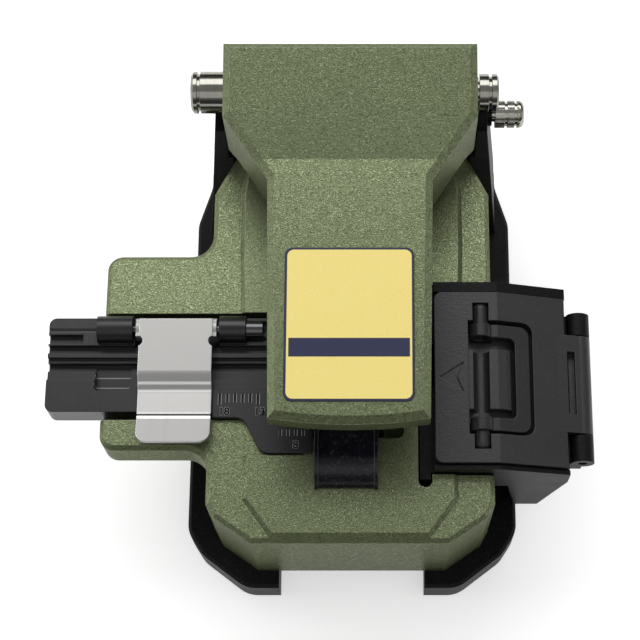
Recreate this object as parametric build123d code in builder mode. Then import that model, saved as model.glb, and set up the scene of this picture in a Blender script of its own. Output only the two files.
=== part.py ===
"""A bench fibre cleaver: a cast body on a black frame, with a hinged arm, a blade carriage and a scrap bin.

Frame: X to the user's right, Y to the back, Z up. The origin is on the table, under the fibre line.
The fibre lies along X at Y = 0, and X = 0 is the middle plane of the body.
"""

import os
from math import atan2, cos, degrees, radians, sin

from build123d import *

# Clearances
running_gap = 0.05
sliding_gap = 0.15
safe_gap = 0.3

# Farther than any edge of the model, for cuts that pass right through
beyond = 80.0

# How near two places count as one, where a cut starts outside a face, and how deep a joined form is rooted
near = 0.01
seat_gap = 0.02
cut_start = 1.0
root = 0.5

# Base frame and sole
frame_half_width = 22.8
frame_front_y = -25.8
frame_rear_y = 40.0
frame_top_z = 6.5
frame_floor = 2.0
frame_rim_width = 6.2
frame_corner_y = -18.0
frame_corner_reach = 14.6
frame_facet = 2.1
frame_facet_run = 3.2
frame_shoulder_run = 6.0
frame_shoulder_y = 28.0
frame_rear_half_width = 20.9
frame_rear_radius = 4.0
notch_half_width = 10.0
notch_set_back = 2.05
frame_corner_radius = 4.0
frame_rim_chamfer = 0.4
sole_inset = 1.5
sole_thickness = 1.2
sole_drop = 0.6

# Main body
body_half_width = 18.7
body_front_y = -23.45
body_corner_y = -18.3
body_corner_reach = 12.8
body_facet = 1.0
body_facet_run = 1.8
body_rear_y = 38.6
body_shoulder_y = 24.9
body_waist_y = 30.3
body_rear_half_width = 15.9
body_top_z = 25.3
body_wall = 2.4
body_roof_z = 15.5
body_chamfer = 0.6
plateau_rise = 0.5
plateau_bevel_run = 0.6
plateau_half_width = 15.0
plateau_front_half_width = 14.0
plateau_front_reach = 10.3
plateau_facet_run = 5.0
plateau_rear_inset = 1.8
post_radius = 2.4
post_x = 13.0
post_front_y = -17.5
post_rear_y = 27.0

# Ear that carries the fibre holder
ear_left_x = -32.8
ear_rear_y = 15.8
ear_front_y = -11.2
ear_bottom_z = 19.6
ear_corner = 2.0
ear_fillet = 3.0

# Central well with the ledges for the lower clamps
well_half_width = 7.0
well_front_y = -9.8
well_rear_y = 14.0
well_ledge_z = 20.4
well_lower_half_width = 4.4
neck_slot_left_x = -3.5
neck_slot_right_x = 2.5
neck_slot_front_y = -14.5
well_corner = 1.0

# Fibre holder
fibre_z = 25.3
holder_left_x = -40.0
holder_right_x = -7.6
holder_front_y = -6.3
holder_rear_y = 6.6
holder_bottom_z = 21.8
holder_top_z = 26.0
holder_corner = 1.0
holder_side_gap = 0.9
channel_front_y = -1.6
channel_rear_y = 1.15
channel_depth = 0.8
ridge_rear_y = 1.76
ridge_drop = 0.12
rear_groove_y = 2.8
rear_groove_depth = 1.0
front_groove_y = -1.95
front_groove_depth = 0.6
fibre_slot_half_width = 0.55
fibre_slot_depth = 1.0
pocket_left_x = -33.65
pocket_depth = 1.2
pocket_corner = 0.4
pocket_right_x = -29.0
pocket_front_y = -3.4
pocket_rear_y = 0.3
end_slot_right_x = -35.4
end_slot_front_y = 3.0
end_slot_width = 1.3
end_slot_depth = 1.0
holder_screw_x = -22.0
holder_screw_bite = 1.6

# Hinge of the fibre clamp
clamp_pin_y = 4.8
clamp_pin_z = 26.6
clamp_pin_radius = 0.7
clamp_knuckle_radius = 1.8
left_knuckle_x = (-33.4, -28.7)
right_knuckle_x = (-17.3, -13.8)
clamp_pin_head_radius = 1.2
clamp_pin_head_length = 2.2

# Spring steel fibre clamp
clamp_left_x = -27.75
clamp_right_x = -18.15
clamp_thickness = 0.8
clamp_rear_y = 5.8
clamp_top_z = 28.3
clamp_step_top_y = -1.6
clamp_step_foot_y = -3.8
clamp_low_top_z = 27.0
clamp_bend_y = -6.7
clamp_front_y = -10.8
clamp_flap_rise = 0.9
clamp_flap_corner = 1.4
clamp_bend_radius = 0.9
clamp_ear_radius = 1.5
clamp_ear_overhang = 0.5
clamp_relief_radius = 0.75
clamp_relief_bite = 0.5
clamp_relief_y = 2.75
clamp_room_depth = 2.0
rubber_strip_inset = 1.2
fibre_pad_half_width = 1.1
fibre_pad_lift = 0.05

# Scale plate beside the holder
scale_left_x = -18.0
scale_right_x = -5.0
scale_top_z = 26.2
scale_rear_y = -3.3
scale_front_y = -7.1
scale_step_left_x = -14.0
scale_step_right_x = -11.6
scale_low_front_y = -11.9
scale_corner = 1.8

# Arm hinge
hinge_y = 34.6
hinge_z = 36.5
hinge_rod_radius = 1.6
hinge_head_radius = 2.8
hinge_cap_radius = 2.5
hinge_head_reach = 2.8
hinge_cap_reach = 1.3
hinge_cap_gap = 0.45
hinge_cap_groove_set_in = 1.1
hinge_shaft_chamfer = 0.3
hinge_cap_chamfer = 0.25
hinge_head_groove_set_in = 1.0
hinge_groove_width = 0.4
hinge_groove_depth = 0.35
hinge_bush_wall = 0.7
lug_radius = 3.4
lug_width = 4.6
lug_side_gap = 2.3
lug_rear_reach = 3.0
lug_front_reach = 3.3

# Arm cover
arm_rear_y = 38.6
arm_rear_z = 43.5
arm_bend_y = 23.0
arm_bend_z = 41.0
arm_front_y = -10.6
arm_front_bulge = 0.8
arm_front_z = 39.0
arm_rear_half_width = 16.5
arm_shoulder_y = 29.1
arm_waist_y = 20.6
arm_waist_half_width = 10.6
arm_front_half_width = 10.1
arm_wall = 1.6
arm_chamfer = 0.9
arm_lip_z = 35.6
arm_waist_bottom_z = 30.0
arm_cheek_bottom_y = 27.0
arm_cheek_bottom_z = 31.5
arm_cheek_radius = 3.4
arm_lobe_radius = 2.2
arm_rear_wall_drop = 3.5

# Plain badge field on the arm
label_half_width = 8.1
label_front_y = -8.7
label_rear_y = 11.05
label_corner = 1.0
label_thickness = 0.3
label_pocket = 0.15

# Black ears of the frame beside the hinge
ear_gap = 0.35
ear_thickness = 1.35
ear_foot_half_width = 20.9
ear_foot_front_y = 26.4
ear_foot_sink = 1.0
ear_shoulder_y = 30.0
ear_top_front_y = 30.6
ear_top_rear_y = 38.6
ear_top_z = 33.0

# Lock plunger in the right ear
lock_y = 33.85
lock_z = 31.5
lock_pin_radius = 1.0
lock_boss_radius = 2.9
lock_bush_radius = 1.6
lock_bush_reach = 0.7
lock_knob_radius = 1.85
lock_knob_gap = 1.15
lock_knob_length = 3.9
lock_pin_bite = 1.5
lock_nose_gap = 0.1
knurl_count = 20
knurl_depth = 0.22
knob_groove_pitch = 1.3
knob_groove_width = 0.35
knob_dome = 0.7

# Blade and its carriage
blade_x = 0.9
blade_radius = 7.5
blade_thickness = 0.8
blade_bore = 1.5
blade_bevel = 0.6
axle_slot_floor = 0.7
axle_slot_half_width = 0.3
blade_rest_y = -3.2
blade_clearance_z = 0.05
rail_half_width = 2.5
rail_height = 2.6
rail_waist_depth = 0.5
rail_groove_low = 0.35
rail_groove_middle = 0.55
rail_groove_high = 0.75
rail_front_y = -16.0
rail_rear_y = 14.0
rail_screw_count = 3
carriage_half_width = 5.6
carriage_top_z = 9.0
carriage_front_y = -14.2
carriage_rear_y = 3.6
carriage_foot_gap = 0.5
bracket_thickness = 1.8
bracket_gap = 0.3
bracket_foot_half = 3.6
bracket_foot_inset = 0.6
bracket_foot_thickness = 1.4
bracket_head_radius = 2.0
bracket_screw_x = -3.4
bracket_screw_inset = 1.6
bracket_screw_radius = 0.7
bracket_screw_head_radius = 1.2
bracket_screw_head_height = 0.8
axle_head_radius = 2.2
axle_head_thickness = 1.2

# Push pad
pad_left_x = -4.6
pad_right_x = 3.6
pad_front_y = -16.5
pad_rear_y = -8.4
pad_flange = 0.5
pad_flange_rise = 0.35
pad_crown_run = 4.2
pad_brow_run = 1.1
pad_brow_rise = 1.45
pad_top_z = 28.3
pad_rear_z = 27.4
pad_neck_front_y = -14.2
pad_neck_rear_y = -11.6
pad_neck_left_x = -3.2
pad_neck_right_x = 2.2

# Clamps beside the blade
clamp_pad_reach = 1.5
lower_left_x = (-6.6, -1.2)
lower_right_x = (2.6, 6.6)
lower_block_half_depth = 3.0
rubber_thickness = 0.35
upper_gap = 0.3
yoke_bottom_z = 29.6
yoke_top_z = 31.6
yoke_half_depth = 2.4
bridge_overhang = 1.7
bridge_corner = 0.8
upper_leg_left_inset = 1.9
upper_leg_right_inset = 1.3
guide_pin_radius = 0.8
guide_pin_head_radius = 1.3
guide_pin_foot = 0.8
guide_x = (-6.4, 6.9)
anvil_left_x = -0.4
anvil_right_x = 2.2
anvil_gap = 0.45
anvil_rubber = 0.5
anvil_flange_half_depth = 3.6
anvil_flange_left_x = -3.6
anvil_flange_right_x = 5.0
anvil_flange_thickness = 1.2

# Springs
spring_wire = 0.25
return_spring_radius = 1.5
return_spring_turns = 8
return_spring_drop = 1.8
stop_set_back = 2.0
stop_thickness = 2.0
stop_half_width = 3.5
stop_pin_radius = 0.8
stop_pin_reach = 2.5
stop_bore_depth = 3.0
clamp_spring_radius = 1.25
clamp_spring_turns = 5

# Scrap bin
bin_left_reach = -9.7
bin_step_reach = -7.8
bin_right_reach = 9.9
bin_rear_y = 11.2
bin_front_y = -14.4
bin_bottom_z = 8.0
bin_tray_bottom_z = 18.6
bin_pocket_left_reach = 2.1
bin_foot_left_reach = 3.7
bin_foot_right_reach = 6.9
bin_taper_z = 20.7
bin_wall = 0.9
bin_end_wall = 1.5
bin_join = 0.2
bin_tongue_right_reach = -8.3
bin_tongue_front_y = -15.3
bin_tongue_top_z = 25.9
bin_recess_gap = 0.2
groove_front_y = -16.3
fibre_window_half_width = 3.0
fibre_window_bottom_z = 21.6

# Bin lid, its fold runs down to the right
lid_left_reach = -7.7
lid_fold_reach = 0.6
lid_right_reach = 9.65
lid_top_z = 28.0
lid_edge_z = 25.1
lid_thickness = 1.3
lid_front_y = -13.6
lid_rear_y = 9.6
lid_corner = 1.0
lid_gap = 0.2
rim_drop = 0.5
recess_left_reach = -3.3
recess_right_reach = 5.25
recess_front_y = -9.8
recess_rear_y = 5.65
recess_corner = 1.4
recess_depth = 1.9
recess_wall = 1.3
lid_pad_right_reach = 2.5
lid_pad_front_y = -6.4
lid_pad_rear_y = 1.7
lid_pad_drop = 0.3
lid_pad_round = 1.2
arrow_tip_reach = -7.1
arrow_tail_reach = -3.9
arrow_half_width = 2.05
arrow_notch = 0.9
arrow_y = -2.1
arrow_depth = 0.2

# Lid hinge and its knuckles along Y
bin_hinge_reach = 11.7
bin_hinge_z = 23.0
bin_knuckle_radius = 1.55
bin_hinge_pin_radius = 0.6
pin_end_inset = 0.2
lid_web_root = 1.0
rear_knuckle_y = (4.8, 7.9)
front_knuckle_y = (-12.5, -9.0)
knuckle_gap = 0.2
window_rear_y = 2.3
window_front_y = -6.3
window_right_reach = 11.0
window_floor = 0.5
hinge_ledge_drop = 0.35
hinge_ledge_thickness = 0.8

# Bail handle of the lid
handle_pivot_reach = -1.6
handle_pivot_z = 27.1
handle_pin_radius = 1.05
handle_pin_front_y = -11.8
handle_pin_rear_y = 8.1
handle_pin_bite = 1.2
handle_pin_dome = 0.7
handle_front_y = -9.3
handle_rear_y = 5.1
handle_arm_width = 1.7
handle_bar_left_reach = 2.9
handle_bar_right_reach = 4.8
handle_thickness = 1.2
handle_eye_radius = 1.5
handle_corner = 1.3
handle_inner_corner = 0.8

# Fasteners
screw_radius = 1.0
screw_head_radius = 1.9
screw_head_height = 1.2
socket_radius = 0.96
socket_depth = 0.6
base_screw_bite = 6.0
base_screw_hole = 6.5

# Places that follow from the sizes above
frame_bottom_z = sole_drop
floor_top_z = frame_bottom_z + frame_floor
plateau_z = body_top_z + plateau_rise
plateau_front_y = body_front_y + body_chamfer
notch_rear_y = body_front_y + notch_set_back
blade_top_z = fibre_z + blade_clearance_z
blade_z = blade_top_z - blade_radius
rail_top_z = floor_top_z + rail_height
carriage_bottom_z = floor_top_z + carriage_foot_gap
return_spring_z = carriage_top_z - return_spring_drop
lower_clamp_top_z = fibre_z + blade_clearance_z - rubber_thickness
upper_pad_bottom_z = lower_clamp_top_z + rubber_thickness + upper_gap
anvil_bottom_z = fibre_z + anvil_gap
pad_bottom_z = plateau_z + safe_gap

# Places across the scrap bin and its lid, each from the body's right side
bin_left_x = body_half_width + bin_left_reach
bin_step_x = body_half_width + bin_step_reach
bin_right_x = body_half_width + bin_right_reach
bin_pocket_left_x = body_half_width + bin_pocket_left_reach
bin_foot_left_x = body_half_width + bin_foot_left_reach
bin_foot_right_x = body_half_width + bin_foot_right_reach
bin_tongue_right_x = body_half_width + bin_tongue_right_reach
lid_left_x = body_half_width + lid_left_reach
lid_fold_x = body_half_width + lid_fold_reach
lid_right_x = body_half_width + lid_right_reach
recess_left_x = body_half_width + recess_left_reach
recess_right_x = body_half_width + recess_right_reach
lid_pad_right_x = body_half_width + lid_pad_right_reach
arrow_tip_x = body_half_width + arrow_tip_reach
arrow_tail_x = body_half_width + arrow_tail_reach
bin_hinge_x = body_half_width + bin_hinge_reach
window_right_x = body_half_width + window_right_reach
handle_pivot_x = body_half_width + handle_pivot_reach
handle_bar_left_x = body_half_width + handle_bar_left_reach
handle_bar_right_x = body_half_width + handle_bar_right_reach

fold_slope = (lid_top_z - lid_edge_z) / (lid_right_x - lid_fold_x)

bin_recess_left_x = bin_left_x - bin_recess_gap
bin_recess_bottom_z = bin_tray_bottom_z - bin_recess_gap
arm_slope = (arm_bend_z - arm_front_z) / (arm_bend_y - arm_front_y)
rear_slope = (arm_rear_z - arm_bend_z) / (arm_rear_y - arm_bend_y)
frame_screws = [(side * post_x, y) for side in (-1, 1) for y in (post_front_y, post_rear_y)]
ear_inner_x = arm_rear_half_width + ear_gap
lug_outer_x = arm_rear_half_width - arm_wall - lug_side_gap
lug_inner_x = lug_outer_x - lug_width
ear_top_half_width = ear_inner_x + ear_thickness
hinge_left_x = -(ear_top_half_width + hinge_head_reach)
hinge_right_x = ear_top_half_width + hinge_cap_reach
lock_knob_left_x = ear_top_half_width + lock_knob_gap
lock_knob_right_x = lock_knob_left_x + lock_knob_length
handle_arms_y = (
    (handle_front_y, handle_front_y + handle_arm_width),
    (handle_rear_y - handle_arm_width, handle_rear_y),
)


def arm_top_at(y):
    """Height of the arm's outer top, which bends where the rear part meets the long front part."""
    if y > arm_bend_y:
        return arm_bend_z + (y - arm_bend_y) * rear_slope
    return arm_front_z + (y - arm_front_y) * arm_slope


def lid_top_at(x):
    """Height of the lid's outer top, flat to the fold and sloping down beyond it."""
    return lid_top_z - max(0.0, x - lid_fold_x) * fold_slope


def block(x_range, y_range, z_range, mode=Mode.ADD):
    """A rectangular block between two values along each axis."""
    middle = ((x_range[0] + x_range[1]) / 2, (y_range[0] + y_range[1]) / 2)
    with BuildSketch(Plane.XY.offset(z_range[0])) as outline:
        with Locations(middle):
            Rectangle(x_range[1] - x_range[0], y_range[1] - y_range[0])
    extrude(outline.sketch, amount=z_range[1] - z_range[0], mode=mode)


def rounded_block(x_range, y_range, z_range, radius, mode=Mode.ADD):
    """A block whose upright edges are rounded."""
    middle = ((x_range[0] + x_range[1]) / 2, (y_range[0] + y_range[1]) / 2)
    with BuildSketch(Plane.XY.offset(z_range[0])) as outline:
        with Locations(middle):
            RectangleRounded(x_range[1] - x_range[0], y_range[1] - y_range[0], radius)
    extrude(outline.sketch, amount=z_range[1] - z_range[0], mode=mode)


def prism(plane, corners, depth, mode=Mode.ADD, inset=0.0):
    """A prism whose section is a closed outline of corners on a plane, drawn in by an inset."""
    with BuildSketch(plane) as outline:
        with BuildLine():
            Polyline(*corners, close=True)
        make_face()
        if inset:
            offset(amount=-inset, kind=Kind.INTERSECTION, mode=Mode.REPLACE)
    extrude(outline.sketch, amount=depth, mode=mode)


def prism_along_x(corners, x_range, mode=Mode.ADD):
    """A prism along X whose section is given as (y, z) corners."""
    prism(Plane.YZ.offset(x_range[0]), corners, x_range[1] - x_range[0], mode)


def prism_along_y(corners, y_range, mode=Mode.ADD):
    """A prism along Y whose section is given as (x, z) corners."""
    prism(Plane.XZ.offset(-y_range[1]), corners, y_range[1] - y_range[0], mode)


def rod_along_x(y, z, radius, x_range, mode=Mode.ADD):
    """A round rod along X."""
    with BuildSketch(Plane.YZ.offset(x_range[0])) as outline:
        with Locations((y, z)):
            Circle(radius)
    extrude(outline.sketch, amount=x_range[1] - x_range[0], mode=mode)


def rod_along_y(x, z, radius, y_range, mode=Mode.ADD):
    """A round rod along Y."""
    with BuildSketch(Plane.XZ.offset(-y_range[1])) as outline:
        with Locations((x, z)):
            Circle(radius)
    extrude(outline.sketch, amount=y_range[1] - y_range[0], mode=mode)


def rod_along_z(x, y, radius, z_range, mode=Mode.ADD):
    """A round rod along Z."""
    with BuildSketch(Plane.XY.offset(z_range[0])) as outline:
        with Locations((x, y)):
            Circle(radius)
    extrude(outline.sketch, amount=z_range[1] - z_range[0], mode=mode)


def cap_screw(x, y, head_z, tip_z):
    """A socket screw along Z: the head starts at head_z, and the shank ends at tip_z."""
    way = 1 if tip_z > head_z else -1
    shoulder = head_z + way * screw_head_height
    rod_along_z(x, y, screw_head_radius, sorted((head_z, shoulder)))
    rod_along_z(x, y, screw_radius, sorted((shoulder, tip_z)))
    with BuildSketch(Plane.XY.offset(head_z)) as socket:
        with Locations((x, y)):
            RegularPolygon(socket_radius, 6)
    extrude(socket.sketch, amount=way * socket_depth, mode=Mode.SUBTRACT)


def both_sides(corners):
    """The right-hand corners of an outline, followed by their mirror images on the left."""
    return corners + [(-x, y) for x, y in reversed(corners)]


def finish(piece, name):
    """Label one piece and write it to its own file."""
    piece.part.label = name
    export_step(piece.part, f"parts/{name}.step")


os.makedirs("parts", exist_ok=True)


# Outline of the frame, from the front corner facets to the drawn-in rear
frame_outline = both_sides([
    (frame_corner_reach, frame_front_y),
    (frame_half_width - frame_facet, frame_corner_y - frame_facet_run),
    (frame_half_width, frame_corner_y),
    (frame_half_width, frame_shoulder_y),
    (frame_rear_half_width, frame_shoulder_y + frame_shoulder_run),
    (frame_rear_half_width, frame_rear_y),
])


# Outline of the body, with its front corner facets and drawn-in rear
body_outline = both_sides([
    (body_corner_reach, body_front_y),
    (body_half_width - body_facet, body_corner_y - body_facet_run),
    (body_half_width, body_corner_y),
    (body_half_width, body_shoulder_y),
    (body_rear_half_width, body_waist_y),
    (body_rear_half_width, body_rear_y),
])

# Outline of the raised middle of the body's top
plateau_outline = both_sides([
    (plateau_front_reach, plateau_front_y),
    (plateau_front_half_width, plateau_front_y + plateau_facet_run),
    (plateau_front_half_width, ear_front_y),
    (plateau_half_width, ear_rear_y),
    (plateau_half_width, body_shoulder_y),
    (body_rear_half_width - plateau_rear_inset, body_waist_y),
    (body_rear_half_width - plateau_rear_inset, body_rear_y - plateau_rear_inset),
])


# Outline of the sole: the frame's own, drawn in, with the front notch left open
with BuildSketch(Plane.XY) as sole_outline:
    with BuildLine():
        Polyline(*frame_outline, close=True)
    make_face()
    offset(amount=-sole_inset, kind=Kind.INTERSECTION, mode=Mode.REPLACE)
    with Locations((0, notch_rear_y + sole_inset - beyond / 2)):
        Rectangle(2 * (notch_half_width + sole_inset), beyond, mode=Mode.SUBTRACT)

# Rubber sole under the whole frame, with four holes that leave the screws open
with BuildPart() as rubber_sole:
    extrude(sole_outline.sketch, amount=sole_thickness)
    for x, y in frame_screws:
        rod_along_z(x, y, screw_head_radius + safe_gap, (0, sole_thickness), Mode.SUBTRACT)
finish(rubber_sole, "rubber_sole")


def ear_section(side):
    """Section of one ear across the frame: drafted outside, stepped past the body inside."""
    low = body_rear_half_width + safe_gap
    corners = [
        (low, frame_top_z - ear_foot_sink),
        (ear_foot_half_width, frame_top_z - ear_foot_sink),
        (ear_top_half_width, ear_top_z),
        (ear_top_half_width, beyond),
        (ear_inner_x, beyond),
        (ear_inner_x, plateau_z),
        (low, plateau_z),
    ]
    return [(side * x, z) for x, z in corners]


def ear_side_outline(right):
    """Side view of an ear; the right one has a round boss for the lock plunger."""
    with BuildSketch(Plane.YZ) as outline:
        with BuildLine():
            Polyline(
                (ear_foot_front_y, frame_top_z - ear_foot_sink),
                (frame_rear_y - ear_foot_sink, frame_top_z - ear_foot_sink),
                (ear_top_rear_y, ear_top_z),
                (ear_top_front_y, ear_top_z),
                (ear_shoulder_y, body_top_z),
                close=True,
            )
        make_face()
        if right:
            with Locations((lock_y, lock_z)):
                Circle(lock_boss_radius)
    return outline.sketch


# Black base frame: a tray with two rear ears
with BuildPart() as base_frame:
    prism(Plane.XY.offset(frame_bottom_z), frame_outline, frame_top_z - frame_bottom_z)
    upright = base_frame.edges().filter_by(Axis.Z).group_by(Axis.Y)
    fillet(upright[-1], frame_rear_radius)
    fillet([edge for group in upright[:-1] for edge in group], frame_corner_radius)
    chamfer(base_frame.faces().sort_by(Axis.Z)[-1].edges(), frame_rim_chamfer)
    prism(Plane.XY.offset(floor_top_z), frame_outline, frame_top_z, Mode.SUBTRACT, frame_rim_width)
    extrude(sole_outline.sketch, amount=sole_thickness, mode=Mode.SUBTRACT)
    block(
        (-notch_half_width, notch_half_width), (-beyond, notch_rear_y), (-beyond, beyond), Mode.SUBTRACT
    )
    for x, y in frame_screws:
        rod_along_z(x, y, post_radius, (floor_top_z - root, frame_top_z))
        head_room = (0, sole_thickness + screw_head_height)
        rod_along_z(x, y, screw_head_radius + sliding_gap, head_room, Mode.SUBTRACT)
        rod_along_z(x, y, screw_radius + running_gap, (0, frame_top_z), Mode.SUBTRACT)
    for side in (-1, 1):
        with BuildSketch(Plane.XZ.offset(-frame_rear_y)) as section:
            with BuildLine():
                Polyline(*ear_section(side), close=True)
            make_face()
        wedge = extrude(section.sketch, amount=beyond, mode=Mode.PRIVATE)
        plate = extrude(ear_side_outline(side > 0), amount=side * beyond, mode=Mode.PRIVATE)
        add(wedge & plate)
    body_room = plateau_z - frame_top_z
    prism(Plane.XY.offset(frame_top_z), body_outline, body_room, Mode.SUBTRACT, -sliding_gap)
    rod_along_x(hinge_y, hinge_z, hinge_cap_radius + safe_gap, (0, beyond), Mode.SUBTRACT)
    rod_along_x(lock_y, lock_z, lock_bush_radius, (0, beyond), Mode.SUBTRACT)
finish(base_frame, "base_frame")

# Four screws from below, through the frame into the body's posts
with BuildPart() as base_screws:
    for x, y in frame_screws:
        cap_screw(x, y, sole_thickness, frame_top_z + base_screw_bite)
finish(base_screws, "base_screws")


# Painted casting: hollow skirt below, thick deck above with the well, the channel and the bin recess
with BuildPart() as main_body:
    prism(Plane.XY.offset(frame_top_z), body_outline, body_top_z - frame_top_z)
    rounded_block(
        (ear_left_x, 0), (ear_front_y, ear_rear_y), (ear_bottom_z, body_top_z), ear_corner
    )
    inner_corners = main_body.edges().filter_by(Axis.Z).filter_by_position(
        Axis.X, -body_half_width - near, -body_half_width + near
    )
    fillet(inner_corners.filter_by_position(Axis.Y, ear_front_y - near, ear_rear_y + near), ear_fillet)
    chamfer(main_body.faces().sort_by(Axis.Z)[-1].edges(), body_chamfer)
    with BuildSketch(Plane.XY.offset(body_top_z)) as plateau:
        with BuildLine():
            Polyline(*plateau_outline, close=True)
        make_face()
    extrude(plateau.sketch, amount=plateau_rise, taper=degrees(atan2(plateau_bevel_run, plateau_rise)))
    prism(
        Plane.XY.offset(frame_top_z), body_outline, body_roof_z - frame_top_z, Mode.SUBTRACT, body_wall
    )
    for x, y in frame_screws:
        rod_along_z(x, y, post_radius, (frame_top_z, body_roof_z + root))
        screw_hole = (frame_top_z, frame_top_z + base_screw_hole)
        rod_along_z(x, y, screw_radius + running_gap, screw_hole, Mode.SUBTRACT)
    rounded_block(
        (-well_half_width, well_half_width), (well_front_y, well_rear_y), (well_ledge_z, beyond),
        well_corner, Mode.SUBTRACT,
    )
    block(
        (-well_lower_half_width, well_lower_half_width), (neck_slot_front_y, well_rear_y),
        (body_roof_z - cut_start, well_ledge_z), Mode.SUBTRACT,
    )
    block(
        (neck_slot_left_x, neck_slot_right_x), (neck_slot_front_y, well_front_y + cut_start),
        (body_roof_z - cut_start, beyond), Mode.SUBTRACT,
    )
    block(
        (ear_left_x - cut_start, -well_half_width + cut_start),
        (holder_front_y - holder_side_gap, holder_rear_y + holder_side_gap),
        (holder_bottom_z, beyond), Mode.SUBTRACT,
    )
    block(
        (scale_left_x - sliding_gap, -well_half_width + cut_start),
        (scale_low_front_y - sliding_gap, holder_rear_y),
        (body_top_z, beyond), Mode.SUBTRACT,
    )
    block(
        (bin_recess_left_x, body_half_width + cut_start),
        (bin_front_y - bin_recess_gap, bin_rear_y + bin_recess_gap),
        (bin_recess_bottom_z, beyond), Mode.SUBTRACT,
    )
    groove_half = (bin_tongue_right_x - bin_left_x) / 2 + bin_recess_gap
    groove_x = (bin_tongue_right_x + bin_left_x) / 2
    block(
        (groove_x - groove_half, groove_x + groove_half), (groove_front_y + groove_half, bin_front_y),
        (bin_recess_bottom_z, beyond), Mode.SUBTRACT,
    )
    groove_round_y = groove_front_y + groove_half
    rod_along_z(groove_x, groove_round_y, groove_half, (bin_recess_bottom_z, beyond), Mode.SUBTRACT)
    for side in (-1, 1):
        lug_x = sorted((side * lug_inner_x, side * lug_outer_x))
        block(
            lug_x, (hinge_y - lug_front_reach, hinge_y + lug_rear_reach), (body_top_z - root, hinge_z)
        )
        rod_along_x(hinge_y, hinge_z, lug_radius, lug_x)
    rod_along_x(hinge_y, hinge_z, hinge_rod_radius + running_gap, (-beyond, beyond), Mode.SUBTRACT)
    rod_along_z(holder_screw_x, 0, screw_radius + running_gap, (ear_bottom_z, holder_bottom_z), Mode.SUBTRACT)
    head_room = (ear_bottom_z, ear_bottom_z + screw_head_height)
    rod_along_z(holder_screw_x, 0, screw_head_radius + sliding_gap, head_room, Mode.SUBTRACT)
finish(main_body, "main_body")


# Fibre holder: a long block with a vee channel, a pocket, an end slot and two hinge knuckles
with BuildPart() as fibre_holder:
    rounded_block(
        (holder_left_x, holder_right_x), (holder_front_y, holder_rear_y),
        (holder_bottom_z, holder_top_z), holder_corner,
    )
    for front_y, rear_y, depth in (
        (ridge_rear_y, rear_groove_y, rear_groove_depth),
        (channel_rear_y, ridge_rear_y, ridge_drop),
        (channel_front_y, channel_rear_y, channel_depth),
        (-fibre_slot_half_width, fibre_slot_half_width, channel_depth + fibre_slot_depth),
        (front_groove_y, channel_front_y, front_groove_depth),
    ):
        block((-beyond, beyond), (front_y, rear_y), (holder_top_z - depth, beyond), Mode.SUBTRACT)
    rounded_block(
        (pocket_left_x, pocket_right_x), (pocket_front_y, pocket_rear_y),
        (holder_top_z - channel_depth - pocket_depth, beyond), pocket_corner, Mode.SUBTRACT,
    )
    block(
        (-beyond, end_slot_right_x), (end_slot_front_y, end_slot_front_y + end_slot_width),
        (holder_top_z - end_slot_depth, beyond), Mode.SUBTRACT,
    )
    for knuckle_x in (left_knuckle_x, right_knuckle_x):
        rod_along_x(clamp_pin_y, clamp_pin_z, clamp_knuckle_radius, knuckle_x)
    clamp_room = clamp_ear_overhang + safe_gap
    block(
        (clamp_left_x - clamp_room, clamp_right_x + clamp_room), (rear_groove_y, beyond),
        (holder_top_z - clamp_room_depth, beyond), Mode.SUBTRACT,
    )
    rod_along_x(clamp_pin_y, clamp_pin_z, clamp_pin_radius, (-beyond, 0), Mode.SUBTRACT)
    pin_head_room = clamp_pin_head_radius + safe_gap
    rod_along_x(clamp_pin_y, clamp_pin_z, pin_head_room, (right_knuckle_x[1], 0), Mode.SUBTRACT)
    screw_end_z = holder_bottom_z + holder_screw_bite
    rod_along_z(holder_screw_x, 0, screw_radius, (holder_bottom_z, screw_end_z), Mode.SUBTRACT)
finish(fibre_holder, "fibre_holder")

# Screw that holds the fibre holder from under the ear
with BuildPart() as holder_screws:
    cap_screw(holder_screw_x, 0, ear_bottom_z, screw_end_z)
finish(holder_screws, "holder_screws")

# Scale plate: its front edge steps forward on the right
with BuildPart() as scale_plate:
    corners = [
        (scale_left_x, scale_rear_y),
        (scale_left_x, scale_front_y),
        (scale_step_left_x, scale_front_y),
        (scale_step_right_x, scale_low_front_y),
        (scale_right_x, scale_low_front_y),
        (scale_right_x, scale_rear_y),
    ]
    prism(Plane.XY.offset(holder_top_z), corners, scale_top_z - holder_top_z)
    foot = [
        (scale_left_x, holder_front_y - sliding_gap),
        (scale_left_x, scale_front_y),
        (scale_step_left_x, scale_front_y),
        (scale_step_right_x, scale_low_front_y),
        (-well_half_width, scale_low_front_y),
        (-well_half_width, holder_front_y - sliding_gap),
    ]
    prism(Plane.XY.offset(body_top_z), foot, holder_top_z - body_top_z)
    step_edges = scale_plate.edges().filter_by(Axis.Z).filter_by_position(
        Axis.X, scale_step_left_x - near, scale_step_right_x + near
    )
    fillet(step_edges, scale_corner)
finish(scale_plate, "scale_plate")

# Steel pin of the fibre clamp, with its head on the right
with BuildPart() as clamp_hinge_pin:
    head_end_x = right_knuckle_x[1] + clamp_pin_head_length
    rod_along_x(clamp_pin_y, clamp_pin_z, clamp_pin_radius, (left_knuckle_x[0], head_end_x))
    rod_along_x(clamp_pin_y, clamp_pin_z, clamp_pin_head_radius, (right_knuckle_x[1], head_end_x))
finish(clamp_hinge_pin, "clamp_hinge_pin")


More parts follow.
